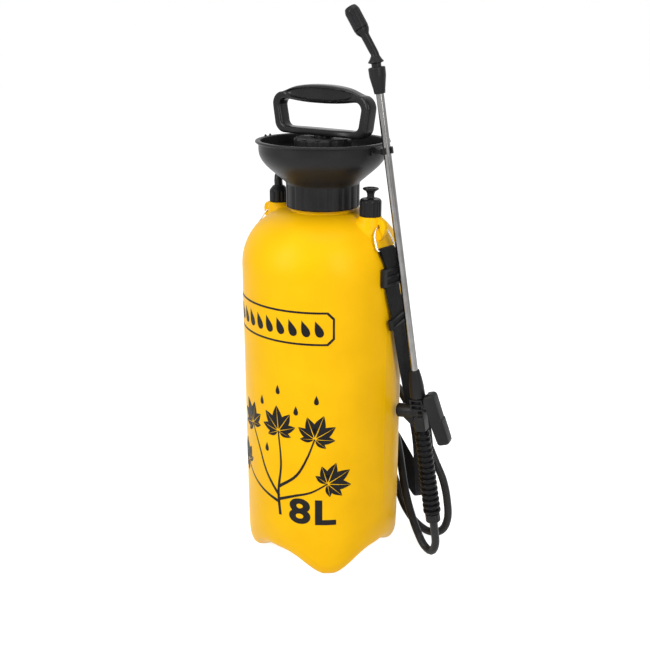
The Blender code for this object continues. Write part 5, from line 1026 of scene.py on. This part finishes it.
def build_outlet():
    section = [(0.0075, OUTLET_LOW), (0.0105, OUTLET_LOW), (0.0105, OUTLET_LOW + 0.0010, 0.0009),
               (0.0105, OUTLET_TOP - 0.0060, 0.0009), (0.0102, OUTLET_TOP - 0.0048), (0.0064, OUTLET_TOP),
               (0.0050, OUTLET_TOP), (0.0047, OUTLET_TOP - 0.0012), (0.0036, OUTLET_TOP - 0.0030),
               (0.0036, OUTLET_CEILING), (0.0075, OUTLET_CEILING)]
    stands_for(turned("outlet_clamp_nut", rounded(section, 0.0006), PLAIN_BLACK, 100, 10, OUTLET_PLACE),
               "root", "black_plastic", "outlet_nut")


build_outlet()

# ---------------------------------------------------------------- pressure relief valve
# A fluted cap of black nylon on the right port, with a mushroom knob on a spring loaded stem. Pulling the
# knob lifts the seal off the port and lets the air out.
RELIEF_PLACE = Matrix.Translation((PORT_X, 0.0, 0.0))
RELIEF_RADIUS, RELIEF_LOW, RELIEF_TOP, RELIEF_ROOF = 0.0116, 0.4131, 0.4313, 0.4291
RELIEF_SHOULDER, STEM_FOOT_LOW, STEM_FOOT_TOP = 0.4191, 0.4206, 0.4218


def build_relief():
    cap = [(0.0087, RELIEF_LOW), (RELIEF_RADIUS, RELIEF_LOW), (RELIEF_RADIUS, RELIEF_LOW + 0.0008, 0.0009),
           (RELIEF_RADIUS, RELIEF_TOP - 0.0030, 0.0009), (RELIEF_RADIUS - 0.0003, RELIEF_TOP - 0.0016),
           (RELIEF_RADIUS - 0.0018, RELIEF_TOP), (0.0052, RELIEF_TOP), (0.0048, RELIEF_TOP - 0.0004),
           (0.0027, RELIEF_TOP - 0.0004), (0.0027, RELIEF_ROOF), (0.0062, RELIEF_ROOF),
           (0.0062, RELIEF_SHOULDER), (0.0087, RELIEF_SHOULDER)]
    stands_for(turned("relief_valve_cap", rounded(cap, 0.0006), PLAIN_BLACK, 120, 12, RELIEF_PLACE), "root",
               "black_plastic", "relief_cap")
    head = RELIEF_TOP + 0.0115
    knob = [(0.0, STEM_FOOT_LOW), (0.0056, STEM_FOOT_LOW), (0.0056, STEM_FOOT_TOP), (0.0024, STEM_FOOT_TOP),
            (0.0024, RELIEF_TOP + 0.0003), (0.0042, RELIEF_TOP + 0.0003), (0.0037, RELIEF_TOP + 0.0030),
            (0.0040, head - 0.0062), (0.0050, head - 0.0040), (0.0085, head - 0.0018),
            (0.0085, head - 0.0006), (0.0072, head), (0.0044, head - 0.0002), (0.0040, head - 0.0006),
            (0.0, head - 0.0006)]
    stands_for(turned("relief_pull_knob", rounded(knob, 0.0007), PLAIN_BLACK, 64, place=RELIEF_PLACE),
               "relief_puller", "black_plastic", "relief_knob")


build_relief()

# ---------------------------------------------------------------- lance
# A thin stainless tube with a steady shine. It hangs in the clip on the funnel's rim, with the gun at its
# foot and the nozzle at its head.
CLIP_POINT = Vector((0.0867, -0.0020, 0.4830))
GUN_POINT = Vector((0.1182, 0.0274, 0.1944))
LANCE_RADIUS, LANCE_BORE = 0.0040, 0.0043
NUT_LOW, NUT_HIGH = 0.0567, 0.0824
GUN_STATION = 0.0172 - (CLIP_POINT - GUN_POINT).length


def on_lance(station, azimuth):
    """A frame on the lance's axis, a distance above the clip, with X turned towards a compass direction."""
    out = Vector((cos(azimuth), sin(azimuth), 0.0))
    out = (out - out.dot(LANCE_UP) * LANCE_UP).normalized()
    turn = Matrix((out, LANCE_UP.cross(out), LANCE_UP)).transposed().to_4x4()
    return Matrix.Translation(CLIP_POINT + station * LANCE_UP) @ turn


LANCE_PLACE = on_lance(0.0, 0.0)
POLISHED = drawn_steel("polished_lance", 9.0, (0.11, 0.108, 0.106), (0.29, 0.284, 0.278), 0.10)


def build_lance():
    low, high = GUN_STATION - 0.0040, NUT_LOW + 0.75 * (NUT_HIGH - NUT_LOW)
    wall = [(LANCE_RADIUS - 0.0009, low), (LANCE_RADIUS, low), (LANCE_RADIUS, high),
            (LANCE_RADIUS - 0.0009, high)]
    stands_for(turned("lance_pipe", rounded(wall, 0.0004, 2), POLISHED, 48, place=LANCE_PLACE), "root",
               "polished_steel", "lance_tube")


build_lance()

# ---------------------------------------------------------------- nozzle
# Black nylon: a tapered nut on the lance, a bent tube with a flared skirt, and a fluted cap that screws in
# and out on it to change the spray from a jet to a mist.
BEND_STATION, BEND_ANGLE, BEND_ROLL = 0.0945, radians(24.5), radians(187.0)
ELBOW_REACH, NOZZLE_CAP_RADIUS = 0.0275, 0.0076
BEND_PLACE = on_lance(BEND_STATION, BEND_ROLL)
NOZZLE_PLACE = BEND_PLACE @ Matrix.Rotation(BEND_ANGLE, 4, "Y")


def build_nozzle():
    nut = [(LANCE_BORE, NUT_LOW), (0.0056, NUT_LOW), (0.0062, NUT_LOW + 0.0050), (0.0076, NUT_LOW + 0.0128),
           (0.0084, NUT_LOW + 0.0170), (0.0086, NUT_HIGH - 0.0010), (0.0080, NUT_HIGH), (0.0065, NUT_HIGH),
           (0.0065, NUT_LOW + 0.0085), (LANCE_BORE, NUT_LOW + 0.0085)]
    stands_for(turned("nozzle_lock_nut", rounded(nut, 0.0012), PLAIN_BLACK, 64, place=LANCE_PLACE), "root",
               "black_plastic", "nozzle_nut")
    skirt = NUT_HIGH + 0.0047 - BEND_STATION
    straight = [(NUT_LOW + 0.0115 - BEND_STATION, 0.0062), (NUT_HIGH - 0.0012 - BEND_STATION, 0.0062),
                (NUT_HIGH - 0.0002 - BEND_STATION, 0.0049), (skirt - 0.0012, 0.0049),
                (skirt - 0.0004, 0.0074), (skirt, 0.0079), (skirt + 0.0006, 0.0078),
                (skirt + 0.0030, 0.0060), (skirt + 0.0056, 0.0046)]
    lean = Matrix.Rotation(BEND_ANGLE, 4, "Y")
    points = [Vector((0.0, 0.0, height)) for height, _ in straight]
    radii = [radius for _, radius in straight]
    start, end = Vector((0.0, 0.0, -0.0012)), lean @ Vector((0.0, 0.0, 0.0050))
    bend = interpolate_bezier(start, Vector((0.0, 0.0, 0.0010)), lean @ Vector((0.0, 0.0, 0.0018)), end, 9)
    points += bend
    radii += [0.0043, 0.0042, 0.0041, 0.0041, 0.0041, 0.0041, 0.0041, 0.0042, 0.0042]
    tip = [(ELBOW_REACH - 0.0075, 0.0043), (ELBOW_REACH - 0.0062, 0.0046), (ELBOW_REACH - 0.0040, 0.0060),
           (ELBOW_REACH - 0.0030, 0.0065), (ELBOW_REACH - 0.0014, 0.0071), (ELBOW_REACH - 0.0004, 0.0073),
           (ELBOW_REACH - 0.0003, 0.0056), (ELBOW_REACH + 0.0026, 0.0056), (ELBOW_REACH + 0.0027, 0.0046),
           (ELBOW_REACH + 0.0045, 0.0046), (ELBOW_REACH + 0.0046, 0.0056), (ELBOW_REACH + 0.0122, 0.0055),
           (ELBOW_REACH + 0.0125, 0.0050)]
    points += [lean @ Vector((0.0, 0.0, height)) for height, _ in tip]
    radii += [radius for _, radius in tip]
    stands_for(tube_along("bent_nozzle_tube", points, radii, PLAIN_BLACK, 40, place=BEND_PLACE), "root",
               "black_plastic", "nozzle_elbow")
    low, high, wide = ELBOW_REACH + 0.0003, ELBOW_REACH + 0.0243, NOZZLE_CAP_RADIUS
    cap = [(0.0059, low), (wide - 0.0004, low), (wide, low + 0.0006), (wide, low + 0.0016, 0.0008),
           (wide, high - 0.0060, 0.0008), (wide, high - 0.0050), (wide - 0.0004, high - 0.0034),
           (wide - 0.0016, high - 0.0006), (wide - 0.0026, high), (0.0030, high), (0.0009, high - 0.0030),
           (0.0009, low + 0.0173), (0.0059, low + 0.0161)]
    stands_for(turned("spray_adjust_cap", rounded(cap, 0.0006), PLAIN_BLACK, 110, 11, NOZZLE_PLACE),
               "spray_cap", "black_plastic", "nozzle_cap")


build_nozzle()

# ---------------------------------------------------------------- trigger gun
# Black nylon: a collar that grips the lance, an open ribbed frame round the valve, a lever over it on a steel
# pin, and a rubbery ribbed grip pushed on the stem, with the nut that holds the hose under it.
GUN_PLACE = on_lance(GUN_STATION, atan2(GUN_POINT.y, GUN_POINT.x))
GRIP_TOP, GRIP_BOTTOM, GRIP_RIBS = -0.0415, -0.1469, 15
NUT_BOTTOM, NUT_SEAT, VALVE_STATION = -0.1589, -0.1545, -0.0172
LEVER_PIN, LEVER_LEAN, LEVER_WALL = Vector((0.0112, 0.0, -0.0012)), radians(-12), 0.0017
GRIP_RUBBER = moulded("grip_plastic", (0.004, 0.004, 0.005), (0.010, 0.010, 0.011), 0.26, 1900.0, 0.00005,
                      wear=0.25, scuffs=0.15, shine=0.09)


def build_gun():
    collar = [(0.0059, 0.0003), (0.0086, 0.0003), (0.0086, 0.0030), (0.0081, 0.0154), (0.0070, 0.0240),
              (0.0054, 0.0326), (LANCE_BORE, 0.0326), (LANCE_BORE, 0.0180), (0.0059, 0.0180)]
    stands_for(turned("gun_collar", rounded(collar, 0.0010), PLAIN_BLACK, 64, place=GUN_PLACE), "root",
               "black_plastic", "lance_collar")
    pitch = (GRIP_TOP - GRIP_BOTTOM) / GRIP_RIBS
    section = [(0.0058, GRIP_BOTTOM)]
    for rib in range(GRIP_RIBS):
        reach = 0.0088 + 0.0014 * (1.0 - (rib + 0.5) / GRIP_RIBS)
        middle = GRIP_BOTTOM + (rib + 0.5) * pitch
        for away, share in ((-0.36, 0.0), (-0.32, 0.06), (-0.27, 0.72), (-0.20, 0.96), (-0.08, 1.0),
                            (0.08, 1.0), (0.17, 0.96), (0.23, 0.72), (0.28, 0.06), (0.32, 0.0)):
            section.append((0.0070 + share * (reach - 0.0070), middle + away * pitch))
    section += [(0.0070, GRIP_TOP), (0.0058, GRIP_TOP)]
    stands_for(turned("ribbed_grip", section, GRIP_RUBBER, 64, place=GUN_PLACE), "root", "black_plastic",
               "grip")
    bm = bmesh.new()
    for side in (1, -1):
        fin = [[Vector((x, side * y, height)) for x, y in ((-0.00035, 0.0066), (0.00035, 0.0066),
                (0.00025, max(0.0078, radius + 0.00025)), (-0.00025, max(0.0078, radius + 0.00025)))]
               for radius, height in section[1:-1]]
        made = join_rings(bm, fin, False)
        bm.faces.new(made[0])
        bm.faces.new(made[-1])
    stands_for(new_piece("grip_parting_lines", bm, GRIP_RUBBER, GUN_PLACE), "root", "black_plastic")
    low, high = NUT_BOTTOM, GRIP_BOTTOM - 0.0003
    nut = [(0.00355, low), (0.0064, low), (0.0085, low + 0.0018), (0.0085, low + 0.0024, 0.0008),
           (0.0085, high - 0.0012, 0.0008), (0.0085, high - 0.0006), (0.0079, high), (0.0058, high),
           (0.0058, NUT_SEAT), (0.00355, NUT_SEAT)]
    stands_for(turned("hose_clamp_nut", rounded(nut, 0.0005), PLAIN_BLACK, 100, 10, GUN_PLACE), "root",
               "black_plastic", "hose_nut")
    valve = GUN_PLACE @ Matrix.Translation((0.0, 0.0, VALVE_STATION)) @ Matrix.Rotation(-pi / 2, 4, "Y")
    cap = [(0.0, 0.0202), (0.0053, 0.0202), (0.0053, 0.0235), (0.0080, 0.0235), (0.0080, 0.0252),
           (0.0058, 0.0268), (0.0030, 0.0272), (0.0026, 0.0268), (0.0, 0.0268)]
    stands_for(turned("valve_plug", rounded(cap, 0.0006), PLAIN_BLACK, 48, place=valve), "root",
               "black_plastic", "valve_cap")


def build_lever():
    """The trigger: a thin curved channel, open at the back, with a step across it and both ends closed."""
    # Each station: height, half width, how far the front and the back stand out, and one where it is closed.
    stations = [(0.0060, 0.0046, 0.0071, 0.0020, 1), (0.0052, 0.0064, 0.0091, 0.0008, 1),
                (0.0036, 0.0074, 0.0104, -0.0004, 1), (0.0032, 0.0075, 0.0105, -0.0006, 0),
                (0.0010, 0.0078, 0.0107, -0.0018, 0), (-0.0060, 0.0077, 0.0106, -0.0026, 0),
                (-0.0150, 0.0076, 0.0104, -0.0029, 0), (-0.0244, 0.0074, 0.0103, -0.0030, 0),
                (-0.0252, 0.0074, 0.0103, -0.0030, 0), (-0.0258, 0.0076, 0.0110, -0.0030, 0),
                (-0.0270, 0.0076, 0.0111, -0.0030, 0), (-0.0400, 0.0074, 0.0111, -0.0029, 0),
                (-0.0500, 0.0072, 0.0109, -0.0026, 0), (-0.0530, 0.0069, 0.0106, -0.0024, 0),
                (-0.0534, 0.0068, 0.0105, -0.0023, 1), (-0.0552, 0.0058, 0.0093, -0.0010, 1),
                (-0.0560, 0.0044, 0.0077, 0.0008, 1)]
    rings = []
    for height, half, front, back, closed in stations:
        ring = []
        inner_front = back + 0.0002 if closed else front - LEVER_WALL
        for wide, far, near in ((half, front, back), (half - LEVER_WALL, inner_front, back)):
            corner = min(0.0026, 0.8 * half, 0.8 * (far - near)) if far > near + 0.0003 else 0.0
            turns = [0.5 * pi * step / 5 for step in range(6)]
            path = [(near, -wide)] + [(far - corner + corner * sin(turn), -wide + corner * (1 - cos(turn)))
                                      for turn in turns]
            path += [(x, -y) for x, y in path[::-1]]
            ring.append(path)
        rings.append([Vector((x, y, height)) for x, y in ring[0] + ring[1][::-1]])
    bm = bmesh.new()
    made = join_rings(bm, rings, False)
    bm.faces.new(made[0])
    bm.faces.new(made[-1])
    place = GUN_PLACE @ Matrix.Translation(LEVER_PIN) @ Matrix.Rotation(LEVER_LEAN, 4, "Y")
    lever = new_piece("trigger_blade", bm, PLAIN_BLACK, place)
    stands_for(lever, "trigger", "black_plastic", "trigger_lever")


build_gun()
build_lever()

# ---------------------------------------------------------------- pieces kept as they were packed
# The gun's frame, the clip, the buckles and the small inner parts keep their solids; corners are rounded as
# a mould rounds them, and each gets the finish of what it is made of.
MOULDED_CORNER = 0.0004
RUBBER = moulded("black_rubber", (0.012, 0.012, 0.012), (0.022, 0.022, 0.022), 0.66, 2200.0, 0.00006)
NATURAL = moulded("natural_polyethylene", (0.60, 0.60, 0.56), (0.76, 0.76, 0.72), 0.42, 900.0, 0.00004)
SPRING_STEEL = drawn_steel("spring_steel", 1800.0, (0.40, 0.40, 0.40), (0.66, 0.65, 0.63), 0.20)


def refinish(node, material, corner=0.0):
    kept = bpy.data.objects[node]
    for slot in kept.material_slots:
        slot.material = material
    if corner:
        soften(kept, corner, 2, 40)


for node in ("gun_body", "lance_clip", "strap_buckle_right", "strap_buckle_left", "strap_slider"):
    refinish(node, PLAIN_BLACK, MOULDED_CORNER)
for node in ("piston", "dip_strainer"):
    refinish(node, PLAIN_BLACK)
for node in ("neck_seal", "cylinder_seal", "check_valve", "piston_seal", "outlet_seal", "relief_seal",
             "lance_seal", "collar_seal", "nozzle_oring", "valve_seal"):
    refinish(node, RUBBER)
for node in ("outlet_tail", "dip_tube", "nozzle_core", "hose_tail"):
    refinish(node, NATURAL)
for node in ("relief_spring", "valve_spring", "valve_pin", "lever_pin"):
    refinish(node, SPRING_STEEL)
